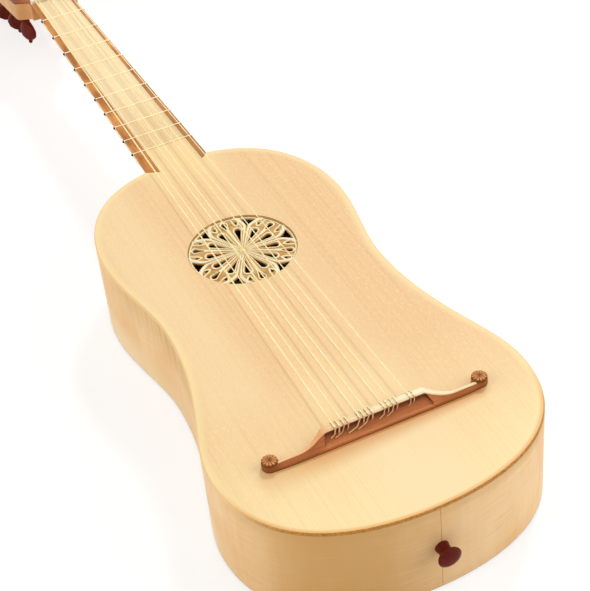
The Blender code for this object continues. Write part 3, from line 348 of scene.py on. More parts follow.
def make_edge():
    """Soundboard's edge: golden brown at the tail, and fading into the board at the sides."""
    finish = Finish("edge_brown", specular=0.2)
    x, y, z = finish.place()
    uneven = finish.noise(x * 700, y * 700, z * 700)
    brown = finish.blend(linear(172, 114, 48), linear(204, 144, 68), uneven.between(0.3, 0.7))
    finish.colour(finish.blend(brown, linear(246, 208, 148), y.between(-0.232, -0.182)))
    finish.rough(0.5 + uneven * 0.1)
    return finish.material


def make_flamed_maple(name, light, shade, along="wall"):
    """Oiled maple: fine fibres along the piece and soft flames across.

    A wall has golden painted shade at the front of the tail and painted shade under the
    soundboard. Its bass side has painted shade and short dark streaks hanging from the
    soundboard, and painted light that makes it paler below.
    """
    finish = Finish(name, specular=0.42)
    x, y, z = finish.place()
    if along == "wall":
        wobble = finish.noise(x * 30, y * 30, z * 18, detail=1.0) * 1.1
        flame = finish.noise(x * 70 + wobble, y * 70, z * 12, detail=3.0, roughness=0.6)
        fibre = finish.noise(x * 40, y * 40, z * 1100, detail=3.0, roughness=0.65)
        streak = finish.noise(x * 22, y * 22, z * 420 + wobble * 1.5, detail=3.0, roughness=0.65)
    else:
        wobble = finish.noise(x * 18, y * 30, z * 30, detail=1.0) * 1.1
        flame = finish.noise(x * 12, y * 90 + wobble, z * 12, detail=3.0, roughness=0.6)
        fibre = finish.noise(x * 1100, y * 40, z * 1100, detail=3.0, roughness=0.65)
        streak = finish.noise(x * 420 + wobble * 1.5, y * 22, z * 420, detail=3.0, roughness=0.65)
    patch = finish.noise(x * 14, y * 14, z * 26, detail=2.0)
    bright = flame * 0.55 + streak * 0.20 + patch * 0.65
    body = finish.blend(shade, light, bright.between(0.50, 0.90))
    if along == "wall":
        tail = 1 - y.between(-0.215, -0.165)
        # golden painted shade on the front of the tail
        golden = tail * x.between(-0.108, -0.066) * (1 - x.between(-0.050, 0.035))
        body = finish.blend(body, linear(208, 157, 84), golden * 0.85 + (patch - 0.5) * 0.3)
        # painted shade just under the soundboard's edge at the tail
        under = z.between(TOP_Z - 0.0110, TOP_Z - 0.0020) * tail
        body = finish.blend(body, linear(206, 159, 92), under * 0.45)
        bass = (0 - x).between(0.020, 0.050) * y.between(-0.190, -0.150)
        waist = bass * y.between(-0.150, -0.095) * (1 - y.between(0.0, 0.030))
        # painted shade hanging from the soundboard on the bass side, with dark streaks in it
        painted_hung_shade = z.between(TOP_Z - 0.034, TOP_Z - 0.004) * waist
        drips = finish.noise(x * 240, y * 240, z * 16, detail=2.0).between(0.46, 0.66)
        body = finish.blend(body, linear(224, 184, 119), painted_hung_shade * 0.7)
        body = finish.blend(body, linear(186, 146, 88), painted_hung_shade * drips * 0.35)
        # painted light: the bass side grows paler towards the floor
        low = (1 - z.between(0.004, 0.034)) * bass
        ends = y.between(-0.030, 0.020) + 1 - y.between(-0.150, -0.100)
        body = finish.blend(body, linear(255, 232, 190), low * (0.45 + ends * 0.35))
    dark = tuple(c * f for c, f in zip(shade, (0.80, 0.70, 0.55)))
    lines = patch.between(0.36, 0.62)
    body = finish.blend(body, dark, fibre.between(0.54, 0.74) * lines * 0.45)
    body = finish.blend(body, light, fibre.between(0.48, 0.30) * lines * 0.35)
    finish.colour(body)
    finish.rough(0.36 + fibre * 0.12)
    finish.bump(fibre, 0.00005, 0.3)
    return finish.material


def make_grained(name, light, dark, axis, roughness=0.42, specular=0.3):
    """Plain wood whose fibres run along one axis, with darker pores and slow patches."""
    finish = Finish(name, specular=specular)
    place = finish.place()
    stretched = [value * (35 if index == axis else 900) for index, value in enumerate(place)]
    broad = [value * (12 if index == axis else 160) for index, value in enumerate(place)]
    fibre = finish.noise(*stretched, detail=3.0, roughness=0.6)
    figure = finish.noise(*broad, detail=2.0)
    body = finish.blend(dark, light, (figure * 0.6 + fibre * 0.4).between(0.30, 0.68))
    pores = tuple(c * 0.55 for c in dark)
    body = finish.blend(body, pores, fibre.between(0.60, 0.74) * 0.45)
    finish.colour(body)
    finish.rough(roughness + (fibre - 0.5) * 0.18)
    finish.bump(fibre, 0.00006, 0.35)
    return finish.material


def make_strip_wood():
    """Fruitwood along Y in slow patches of orange and brown, with painted shade at the treble's low
    end.
    """
    finish = Finish("strip_wood", specular=0.25)
    x, y, z = finish.place()
    fibre = finish.noise(x * 700, y * 35, z * 700, detail=3.0, roughness=0.6)
    patch = finish.noise(x * 90, y * 60, z * 90, detail=2.0)
    body = finish.blend(linear(176, 106, 44), linear(230, 158, 78),
                        (patch * 0.65 + fibre * 0.35).between(0.34, 0.66))
    # painted shade on the treble strip towards the body
    painted_treble_shade = x.between(-0.005, 0.005) * (1 - y.between(0.115, 0.290))
    body = finish.blend(body, linear(176, 122, 64), painted_treble_shade * 0.75)
    body = finish.blend(body, linear(116, 66, 26), fibre.between(0.60, 0.76) * 0.35)
    finish.colour(body)
    finish.rough(0.42 + (fibre - 0.5) * 0.18)
    finish.bump(fibre, 0.00006, 0.35)
    return finish.material


def make_gut(name, light, dark):
    """Twisted gut, pale and slightly uneven, with painted shade on the tails behind the bridge."""
    finish = Finish(name, specular=0.3)
    finish.let_light_in(0.0008)
    x, y, z = finish.place()
    uneven = finish.noise(x * 900, y * 260, z * 900, detail=2.0)
    body = finish.blend(dark, light, uneven.between(0.30, 0.66))
    # painted shade on the tails that hang into the bridge's hollow
    tail = 1 - y.between(BRIDGE_TIE_REAR_Y - 0.0006, BRIDGE_TIE_REAR_Y + 0.0002)
    finish.colour(finish.blend(body, linear(206, 154, 110), tail * 0.8))
    finish.rough(0.30 + uneven * 0.15)
    finish.bump(uneven, 0.00003, 0.3)
    return finish.material


def make_tracery():
    """Layered tracery: cream ridges over a ground that is orange at either side of the hub.

    The ground has painted shade round the small openings, the ridges have painted shade
    towards their feet, the openings' walls are painted dark, and the hub is yellow and uneven.
    """
    finish = Finish("tracery", specular=0.15)
    x, y, z = finish.place()
    grain = finish.noise(x * 1500, y * 1500, z * 1500, detail=2.0)
    patch = finish.noise(x * 130, y * 130, z * 130, detail=2.0)
    radius = (x * x + y * y) ** 0.5
    sides = 1 - (abs(y) / radius).between(0.25, 0.75)
    inner = finish.blend(linear(234, 198, 138), linear(212, 156, 86), sides)
    outer = finish.blend(linear(226, 188, 124), linear(196, 148, 78), patch.between(0.35, 0.65))
    outer = finish.blend(outer, linear(208, 150, 84), sides * 0.4)
    ground = finish.blend(inner, outer, radius.between(0.0205, 0.0262))
    half_spacing = math.pi / (2 * PETAL_COUNT)
    turn = finish.math("ARCTAN2", y, x) + (math.pi * 2 - half_spacing)
    aside = finish.math("PINGPONG", turn, half_spacing) * radius
    away = (aside * aside + (radius - SMALL_OPENING_RADIUS) ** 2) ** 0.5
    # painted shade round the small openings
    painted_hole_shade = 1 - away.between(0.0010, 0.0021)
    ground = finish.blend(ground, linear(96, 56, 16), painted_hole_shade * 0.85)
    rise = (z - ROSE_TOP_Z) / ARCH_HEIGHT
    # ridges are cream at their tops with painted shade towards their feet
    raised = finish.ramp(rise + (patch - 0.5) * 0.5, [
        (0.0, linear(214, 172, 106)), (0.30, linear(242, 216, 160)),
        (0.70, linear(255, 247, 212))])
    middle = finish.blend(linear(206, 168, 106), linear(252, 232, 172), grain.between(0.36, 0.52))
    raised = finish.blend(middle, raised, radius.between(0.0014, 0.0052))
    body = finish.blend(ground, raised, rise.between(0.08, 0.40))
    # painted shade: the openings' walls below the plate's top are dark
    body = finish.blend(linear(74, 34, 24), body, rise.between(-1.6, -0.1))
    finish.colour(body)
    finish.rough(0.62 + grain * 0.15)
    finish.bump(grain, 0.00004, 0.3)
    return finish.material


def make_plain(name, colour, roughness=0.6, specular=0.2, spread=0.12, scale=700):
    """Plain stuff with a little unevenness of colour and surface."""
    finish = Finish(name, specular=specular)
    x, y, z = finish.place()
    uneven = finish.noise(x * scale, y * scale, z * scale, detail=2.0)
    darker = tuple(c * (1 - 2 * spread) for c in colour)
    finish.colour(finish.blend(darker, colour, uneven.between(0.3, 0.7)))
    finish.rough(roughness + (uneven - 0.5) * 0.15)
    finish.bump(uneven, 0.00004, 0.25)
    return finish.material


def make_bridge_wood():
    """Fruitwood along X, with painted shade in the hollow under the cap, in its end creases and along
    the foot.
    """
    finish = Finish("bridge_wood", specular=0.25)
    x, y, z = finish.place()
    fibre = finish.noise(x * 45, y * 900, z * 900, detail=3.0, roughness=0.6)
    figure = finish.noise(x * 14, y * 190, z * 190, detail=2.0)
    body = finish.blend(linear(166, 92, 44), linear(208, 126, 66),
                        (figure * 0.6 + fibre * 0.4).between(0.34, 0.66))
    body = finish.blend(body, linear(104, 54, 28), fibre.between(0.58, 0.72) * 0.5)
    block = BRIDGE_BLOCK_HALF_WIDTH
    ledge = BRIDGE_BASE_Z + BRIDGE_LEDGE_HEIGHT
    height = z.between(ledge, BRIDGE_BASE_Z + BRIDGE_HEIGHT - BRIDGE_CAP_THICKNESS)
    crease = block + (1 - height) * BRIDGE_RECESS_FLARE
    inside = 1 - abs(x).between(crease - 0.0006, crease)
    behind = 1 - y.between(BRIDGE_FRONT_Y - 0.0020, BRIDGE_FRONT_Y - 0.0010)
    # painted shade in the hollow, darkest just under the cap
    shade = z.between(ledge + 0.0015, ledge + 0.0035) * inside * behind
    upper = z.between(ledge + 0.0002, ledge + 0.0023) * inside * behind
    # painted shade in the crease at each end of the hollow
    corner = 1 - abs(abs(x) - crease + 0.0003).between(0.0002, 0.0010)
    # painted contact shadow along the foot, at the glue line
    foot = 1 - z.between(BRIDGE_BASE_Z + 0.0001, BRIDGE_BASE_Z + 0.0007)
    bass_arm = (0 - x).between(block - 0.0002, block + 0.0100)
    treble_arm = x.between(block - 0.0002, block + 0.0100)
    pads = abs(x).between(BRIDGE_BUTTON_X - 0.0080, BRIDGE_BUTTON_X)
    body = finish.blend(body, linear(124, 62, 28),
                        bass_arm * 0.48 + treble_arm * 0.28 + pads * 0.30)
    body = finish.blend(body, linear(140, 62, 26), upper * 0.55)
    body = finish.blend(body, linear(100, 42, 8), shade * 0.9)
    body = finish.blend(body, linear(90, 36, 24), corner * behind * height.between(0.0, 0.2) * 0.8)
    body = finish.blend(body, linear(104, 62, 22), foot * 0.85)
    finish.colour(body)
    finish.rough(0.42 + (fibre - 0.5) * 0.2)
    finish.bump(fibre, 0.00006, 0.35)
    return finish.material


def make_button_wood():
    """Fruitwood: paler on the carved faces, browner at their middle and dark in the grooves."""
    finish = Finish("button_wood", specular=0.25)
    x, y, z = finish.place()
    fibre = finish.noise(x * 1200, y * 1200, z * 1200, detail=2.0)
    top = BRIDGE_BASE_Z + BRIDGE_PAD_HEIGHT + GLUE_GAP * 0.7 + BRIDGE_BUTTON_THICKNESS
    depth = (top - z).between(0.00014, 0.00056)
    away = ((abs(x) - BRIDGE_BUTTON_X) ** 2 + (y - BRIDGE_BUTTON_Y) ** 2) ** 0.5
    body = finish.blend(linear(194, 124, 60), linear(224, 156, 90), fibre.between(0.3, 0.7))
    body = finish.blend(linear(160, 94, 42), body, away.between(0.0004, 0.0030))
    finish.colour(finish.blend(body, linear(108, 52, 18), depth * 0.92))
    finish.rough(0.45 + (fibre - 0.5) * 0.2)
    finish.bump(fibre, 0.00005, 0.3)
    return finish.material


def make_cap_wood():
    """Pale strip along X, cream on the block and the treble arm, where a painted highlight lies, and
    peach on the bass arm.
    """
    finish = Finish("cap_wood", specular=0.25)
    x, y, z = finish.place()
    fibre = finish.noise(x * 40, y * 1100, z * 1100, detail=3.0)
    along = (x + 0.065) / 0.130 + (fibre - 0.5) * 0.03
    # the cream on the block and the treble arm is partly a painted highlight; the bass arm takes less
    # light
    body = finish.ramp(along, [
        (0.04, linear(255, 208, 156)), (0.14, linear(252, 190, 140)),
        (0.24, linear(232, 168, 114)), (0.29, linear(250, 208, 156)),
        (0.50, linear(253, 234, 190)), (0.73, linear(255, 240, 202)),
        (0.79, linear(250, 229, 184))])
    body = finish.blend(body, linear(226, 190, 140), fibre.between(0.55, 0.75) * 0.4)
    inside = 1 - abs(x).between(BRIDGE_BLOCK_HALF_WIDTH - 0.0010, BRIDGE_BLOCK_HALF_WIDTH)
    rear = (BRIDGE_TIE_REAR_Y + 0.0020 - y).between(0.0, 0.0018) * inside
    body = finish.blend(body, linear(230, 186, 134), rear * 0.5)
    # painted shade on the cap's rear side, over the hollow
    side = (BRIDGE_BASE_Z + BRIDGE_HEIGHT - z).between(0.00020, 0.00045) * inside
    body = finish.blend(body, linear(116, 58, 22), side * 0.92)
    nearest = None
    for place in STRING_BRIDGE_X:
        loop = abs(abs(x - place) - TIE_HALF_WIDTH)
        nearest = loop if nearest is None else finish.math("MINIMUM", nearest, loop)
    # painted contact shadow beside each tie's passes over the cap
    painted_tie_shadow = (1 - nearest.between(0.00040, 0.00085)) * fibre.between(0.35, 0.60)
    finish.colour(finish.blend(body, linear(140, 88, 48), painted_tie_shadow * 0.7))
    finish.rough(0.42 + (fibre - 0.5) * 0.15)
    finish.bump(fibre, 0.00005, 0.3)
    return finish.material


def make_fret_gut():
    """Pale gut that is burnt black where the knot is sealed at the bass edge, and glows faintly as
    painted light.
    """
    finish = Finish("fret_gut", specular=0.4)
    finish.let_light_in(0.0008)
    x, y, z = finish.place()
    uneven = finish.noise(x * 900, y * 900, z * 900, detail=2.0)
    taper_rate = (NECK_HALVES[1] - NECK_HALVES[0]) / (NUT_Y - JOINT_Y)
    half = NECK_HALVES[0] + (y - JOINT_Y) * taper_rate
    burnt = (0 - x - half).between(0.0007, 0.0010)
    gut = finish.blend(linear(255, 244, 200), linear(255, 252, 226), uneven.between(0.3, 0.66))
    finish.colour(finish.blend(gut, linear(30, 20, 16), burnt))
    # painted light: a faint glow keeps the frets paler than their shade
    finish.glow(finish.blend(gut, (0.0, 0.0, 0.0), burnt), 0.18)
    finish.rough(0.32 + uneven * 0.15)
    finish.bump(uneven, 0.00003, 0.3)
    return finish.material


def make_iron():
    finish = Finish("nail_iron", metallic=1.0)
    x, y, z = finish.place()
    scale = finish.noise(x * 900, y * 900, z * 900, detail=3.0)
    finish.colour(finish.blend((0.10, 0.09, 0.08), (0.32, 0.31, 0.30), scale.between(0.3, 0.7)))
    finish.rough(0.45 + scale * 0.25)
    return finish.material


SPRUCE = make_board_spruce()
PANEL_SPRUCE = make_panel_spruce()
RIB_MAPLE = make_flamed_maple("rib_maple", linear(253, 217, 166), linear(240, 192, 130))
BACK_MAPLE = make_flamed_maple("back_maple", linear(248, 208, 152), linear(230, 180, 118), "board")
NECK_MAPLE = make_flamed_maple("neck_maple", linear(230, 176, 114), linear(208, 148, 88), "board")
EDGE_BROWN = make_edge()
HOLE_WALL = make_plain("hole_wall", linear(204, 170, 112), spread=0.10)
HOLE_EDGE = make_plain("hole_edge", linear(198, 132, 54), spread=0.12)
BACK_EDGE = make_plain("back_edge_brown", linear(160, 112, 62), spread=0.15)
STRIP_WOOD = make_strip_wood()
BRIDGE_WOOD = make_bridge_wood()
BUTTON_WOOD = make_button_wood()
VENEER_WOOD = make_grained("veneer_wood", linear(178, 104, 64), linear(126, 66, 38), 1)
CAP_WOOD = make_cap_wood()
INNER_WOOD = make_grained("inner_wood", linear(226, 190, 140), linear(196, 152, 100), 0,
                          roughness=0.6, specular=0.15)
PIN_WOOD = make_grained("pin_wood", linear(112, 34, 22), linear(82, 20, 10), 1, roughness=0.32,
                        specular=0.10)
PEG_WOOD = make_grained("peg_wood", linear(112, 34, 22), linear(82, 20, 10), 2, roughness=0.32,
                        specular=0.10)
STRING_GUT = make_gut("string_gut", linear(255, 243, 200), linear(252, 228, 170))
FRET_GUT = make_fret_gut()
TRACERY = make_tracery()
BONE = make_plain("nut_bone", linear(242, 232, 206), roughness=0.35, specular=0.4, spread=0.05)
IRON = make_iron()


def dress(names, material):
    """Give carried-over CAD nodes a material."""
    for name in names:
        slots = NODES[name].material_slots
        for slot in slots:
            slot.material = material


def to_mesh(shape, name, sharp_angle=35):
    """Turn a finished shape into a mesh that is smooth up to an angle in degrees."""
    bmesh.ops.recalc_face_normals(shape, faces=shape.faces)
    mesh = bpy.data.meshes.new(name)
    shape.to_mesh(mesh)
    shape.free()
    mesh.shade_smooth()
    mesh.set_sharp_from_angle(angle=math.radians(sharp_angle))
    return mesh


def add_piece(name, mesh, materials, body, replaced=()):
    """Place a finished mesh on a body, in place of the CAD nodes that it stands for."""
    piece = bpy.data.objects.new(name, mesh)
    for material in materials:
        mesh.materials.append(material)
    bpy.context.scene.collection.objects.link(piece)
    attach(piece, body)
    if replaced:
        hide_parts(*replaced)
    return piece


def mix(low, high, share):
    return low + (high - low) * share


def cubic(start, start_handle, end_handle, end, steps):
    """Return points along a cubic arc, the last one left out."""
    points = []
    for step in range(steps):
        t = step / steps
        weights = ((1 - t) ** 3, 3 * t * (1 - t) ** 2, 3 * t * t * (1 - t), t ** 3)
        corners = (start, start_handle, end_handle, end)
        points.append(sum((Vector(c) * w for c, w in zip(corners, weights)), Vector((0, 0))))
    return points


def half_outline(inset=0.0):
    """Return the treble half of the body outline, from the shoulder to the tail."""
    steps = OUTLINE_STEPS
    points = cubic((0, SHOULDER_Y), (SHOULDER_HANDLE, SHOULDER_Y),
                   UPPER_BOUT + Vector((0, UPPER_BOUT_HANDLES[0])), UPPER_BOUT, steps)
    points += cubic(UPPER_BOUT, UPPER_BOUT - Vector((0, UPPER_BOUT_HANDLES[1])),
                    WAIST + Vector((0, WAIST_HANDLES[0])), WAIST, steps)
    points += cubic(WAIST, WAIST - Vector((0, WAIST_HANDLES[1])),
                    LOWER_BOUT + Vector((0, LOWER_BOUT_HANDLES[0])), LOWER_BOUT, steps)
    points += cubic(LOWER_BOUT, LOWER_BOUT - Vector((0, LOWER_BOUT_HANDLES[1])),
                    (TAIL_HANDLE, TAIL_Y), (0, TAIL_Y), steps)
    points.append(Vector((0, TAIL_Y)))
    moved = []
    for index, point in enumerate(points):
        ahead = points[min(index + 1, len(points) - 1)]
        behind = points[max(index - 1, 0)]
        along = (ahead - behind).normalized()
        if index in (0, len(points) - 1):
            along = Vector((1, 0)) if index == 0 else Vector((-1, 0))
        inward = Vector((along.y, -along.x))
        moved.append(point + inward * inset)
    return moved


def cut_front(points, front_x):
    """Keep the half outline from a distance off the centreline on."""
    middle = len(points) // 2
    kept = [point for point in points[:middle] if point.x > front_x]
    before = points[middle - len(kept) - 1]
    share = (front_x - before.x) / (kept[0].x - before.x)
    return [before.lerp(kept[0], share)] + kept + points[middle:]


def mirrored(points):
    return [Vector((-point.x, point.y)) for point in reversed(points)]


def whole_outline(inset=0.0):
    half = half_outline(inset)
    return half + mirrored(half[1:-1])


def ring(radius, count=96):
    return [Vector((radius * math.cos(2 * math.pi * i / count),
                    radius * math.sin(2 * math.pi * i / count))) for i in range(count)]


def stacked(name, columns, cap_index, rim_points=()):
    """Build a body from columns of loops, each a list of (points, z, index) from the bottom up.

    The first column is the outside and the others are holes. The index is the material of
    the band below a loop. The bottom and the top are filled between the columns' ends.
    Rim points make a loop in the top face, and the face outside it holds a value named rim
    that rises from 0 at the loop to 1 at the edge.
    """
    shape = bmesh.new()
    rim = shape.verts.layers.float.new(RIM_NAME)
    ends = ([], [])
    inner_rim = []
    if rim_points:
        top = columns[0][-1][1]
        row = [shape.verts.new((*point, top)) for point in rim_points]
        inner_rim = [shape.edges.new((near, far)) for near, far in zip(row, row[1:] + row[:1])]
    for number, loops in enumerate(columns):
        rows = [[shape.verts.new((*point, z)) for point in points] for points, z, index in loops]
        for (lower, upper), (points, z, index) in zip(zip(rows, rows[1:]), loops[1:]):
            count = len(lower)
            for i in range(count):
                j = (i + 1) % count
                face = shape.faces.new((lower[i], lower[j], upper[j], upper[i]))
                face.material_index = index
        if inner_rim and number == 0:
            for vert in rows[-1]:
                vert[rim] = 1.0 if on_body_outline(vert.co) else 0.0
        for end, row in zip(ends, (rows[0], rows[-1])):
            for i in range(len(row)):
                edge = shape.edges.get((row[i], row[(i + 1) % len(row)]))
                end.append(edge)
    fills = list(ends)
    if inner_rim:
        outer = len(columns[0][-1][0])
        fills = [ends[0], ends[1][:outer] + inner_rim, ends[1][outer:] + inner_rim]
    for edges in fills:
        filled = bmesh.ops.triangle_fill(shape, use_beauty=True, use_dissolve=False, edges=edges)
        for element in filled["geom"]:
            if isinstance(element, bmesh.types.BMFace):
                element.material_index = cap_index
    return to_mesh(shape, name)


def on_body_outline(place):
    """Say whether a point lies outside the stretch where the neck joins the soundboard."""
    return abs(place.x) > NECK_HALVES[0] + GLUE_GAP / 2 or place.y < 0


def taper(y, widths):
    """Return a width that tapers from the body joint to the nut."""
    return mix(widths[0], widths[1], (y - JOINT_Y) / (NUT_Y - JOINT_Y))


def soundboard_outline(inset=0.0):
    """Return the soundboard's outline, with the tongue between the edge strips."""
    half = cut_front(half_outline(inset), NECK_HALVES[0] + GLUE_GAP)
    sides = []
    for widths in (PANEL_TREBLE_EDGES, PANEL_BASS_EDGES):
        tongue = [Vector((taper(y, widths), y)) for y in (LAST_FRET_Y, EDGE_TIP_Y)]
        sides.append(tongue + half)
    return sides[0] + mirrored(sides[1][:-1])


def make_soundboard():
    """Soundboard with its golden brown edge; its side below that is the ribs' maple."""
    low = TOP_Z - SOUNDBOARD_THICKNESS - GLUE_GAP
    line = TOP_Z - EDGE_LINE_HEIGHT
    outside = [
        (soundboard_outline(), low, 1), (soundboard_outline(), line, 1),
        (soundboard_outline(), TOP_Z - EASED_EDGE, 2),
        (soundboard_outline(EASED_EDGE * 0.13), TOP_Z - EASED_EDGE * 0.5, 2),
        (soundboard_outline(EASED_EDGE * 0.5), TOP_Z - EASED_EDGE * 0.13, 2),
        (soundboard_outline(EASED_EDGE), TOP_Z, 2)]
    hole = [
        (ring(ROSE_RADIUS), low, 0), (ring(ROSE_RADIUS), TOP_Z - 0.0003, 3),
        (ring(ROSE_RADIUS + 0.0003), TOP_Z, 4)]
    mesh = stacked("soundboard", [outside, hole], 0, whole_outline(RIM_WIDTH))
    add_piece("spruce_soundboard", mesh, (SPRUCE, RIB_MAPLE, EDGE_BROWN, HOLE_WALL, HOLE_EDGE),
              "guitar", ["soundboard"])


def make_ribs():
    """Bent ribs, which meet in a fine line on the centreline at the tail."""
    seam = 0.00012
    low = BACK_THICKNESS
    high = UNDER_SOUNDBOARD_Z - 0.00002
    for name, side in (("bass", -1), ("treble", 1)):
        outer = half_outline()
        inner = half_outline(RIB_THICKNESS)
        for points in (outer, inner):
            points[0] = Vector((seam, points[0].y))
            points[-1] = Vector((seam, points[-1].y))
        wall = outer + list(reversed(inner))
        if side < 0:
            wall = mirrored(wall)
        loops = [(wall, low, 0), (wall, high, 0)]
        mesh = stacked(f"rib_{name}", [loops], 0)
        add_piece(f"bent_rib_{name}", mesh, (RIB_MAPLE,), "guitar",
                  [f"rib_{name}"])


def make_back():
    """Flat back with a fine dark line along its lower edge."""
    outside = [
        (whole_outline(EASED_EDGE), 0.0, 2), (whole_outline(), EASED_EDGE, 2),
        (whole_outline(), BACK_LINE_HEIGHT, 2), (whole_outline(), BACK_THICKNESS, 1)]
    mesh = stacked("back", [outside], 0)
    add_piece("flat_back", mesh, (BACK_MAPLE, RIB_MAPLE, BACK_EDGE), "guitar",
              ["back"])


def dress_nodes():
    """Materials of the CAD nodes that are carried over."""
    dress(["fingerboard"], PANEL_SPRUCE)
    dress(["fingerboard_edge_bass", "fingerboard_edge_treble"], STRIP_WOOD)
    dress(["neck", "head"], NECK_MAPLE)
    dress(["head_veneer"], VENEER_WOOD)
    dress(["bridge", "bridge_button_bass", "bridge_button_treble"], BRIDGE_WOOD)
    dress(["bridge_cap"], CAP_WOOD)
    dress(["rose"], TRACERY)
    dress(["nut"], BONE)
    dress(["neck_nail"], IRON)
    dress(["end_pin"], PIN_WOOD)
    dress([f"peg_{number}" for number in range(1, 8)], PEG_WOOD)
    dress([f"string_{number}" for number in range(1, 8)], STRING_GUT)
    dress([f"fret_{number:02d}" for number in range(1, 11)], FRET_GUT)
    inner = ["neck_block", "tail_block", "soundboard_bar_upper", "soundboard_bar_lower",
             "back_bar_upper", "back_bar_middle", "back_bar_lower"]
    inner += [f"lining_{level}_{side}" for level in ("top", "back")
              for side in ("bass", "treble")]
    dress(inner, INNER_WOOD)


def ring_angles(count, start=0.0):
    return [start + 2 * math.pi * number / count for number in range(count)]


def turned_points(points, angle):
    c, s = math.cos(angle), math.sin(angle)
    return [Vector((p[0] * c - p[1] * s, p[0] * s + p[1] * c)) for p in points]


def curved(points, steps=6):
    """Return a smooth curve through a few points."""
    points = [Vector(point) for point in points]
    ends = [points[0] * 2 - points[1]] + points + [points[-1] * 2 - points[-2]]
    result = []
    for a, b, c, d in zip(ends, ends[1:], ends[2:], ends[3:]):
        for step in range(steps):
            t = step / steps
            result.append(0.5 * (2 * b + (c - a) * t + (2 * a - 5 * b + 4 * c - d) * t * t
                                 + (3 * b - a - 3 * c + d) * t ** 3))
    return result + [points[-1]]


def ridge(shape, points, widths, height, closed=False):
    """Add a rounded ridge along a path on the rose, with its first, middle and last width."""
    count = len(points)
    rows = []
    for index, point in enumerate(points):
        if closed:
            along = points[(index + 1) % count] - points[index - 1]
        else:
            along = points[min(index + 1, count - 1)] - points[max(index - 1, 0)]
        across = Vector((-along.y, along.x)).normalized()
        share = 2 * index / (count - 1)
        part = min(int(share), 1)
        half = mix(widths[part], widths[part + 1], share - part) / 2
        row = []
        for step in range(RIDGE_STEPS + 1):
            angle = math.pi * step / RIDGE_STEPS
            side = point + across * half * math.cos(angle)
            rise = height * math.sin(angle) ** 0.8
            row.append(shape.verts.new((*side, ROSE_TOP_Z + rise)))
        for end in (-1, 1):
            side = point + across * half * end
            row.append(shape.verts.new((*side, ROSE_TOP_Z - RIDGE_SINK)))
        rows.append(row)
    if closed:
        rows.append(rows[0])
    for near, far in zip(rows, rows[1:]):
        for i in range(len(near)):
            j = (i + 1) % len(near)
            shape.faces.new((near[i], near[j], far[j], far[i]))
    if not closed:
        shape.faces.new(rows[0])
        shape.faces.new(reversed(rows[-1]))


def drop_line(drop, grow, start_x):
    """Return the line round a drop opening at a distance; both ends lie near the centreline."""
    inner, outer, width = drop
    radius = width / 2 + grow
    centre = outer - width / 2
    start = (start_x, -grow * 0.25)
    near = (inner - grow * 0.3, -grow * 0.92)
    line = [start]
    for step in range(3):
        line.append((mix(near[0], centre, step / 3), mix(near[1], -radius * 0.98, step / 3)))
    for step in range(17):
        turn = math.radians(100) * (step / 8 - 1)
        line.append((centre + radius * math.cos(turn), radius * math.sin(turn)))
    return line + [(x, -y) for x, y in reversed(line[:4])]


def arch_line(side):
    """Return one side of a petal: out beside a spoke, then round a rim opening."""
    half = RIM_OPENING_WIDTH / 2
    corner = math.sqrt(RIM_OPENING_OUTER ** 2 - half ** 2)
    apex = RIM_OPENING_INNER
    line = [(HUB_RADIUS * 0.7, 0.0004), (0.0110, 0.0008), (apex * 0.80, 0.0011),
            (apex * 0.94, 0.0014), (mix(apex, corner, 0.12), half * 0.38),
            (mix(apex, corner, 0.42), half * 0.62), (mix(apex, corner, 0.72), half * 0.92),
            (corner, half * 1.32), (corner + 0.0008, half * 1.70)]
    return curved([(x, side * y) for x, y in line])


def small_line():
    """Return the pointed ridge round a small opening."""
    middle = SMALL_OPENING_RADIUS
    line = [(ROSE_RADIUS * 0.965, 0.0030), (middle + 0.0024, 0.0022), (middle, 0.0016),
            (middle - 0.0024, 0.0002)]
    return curved(line + [(x, -y) for x, y in reversed(line)])


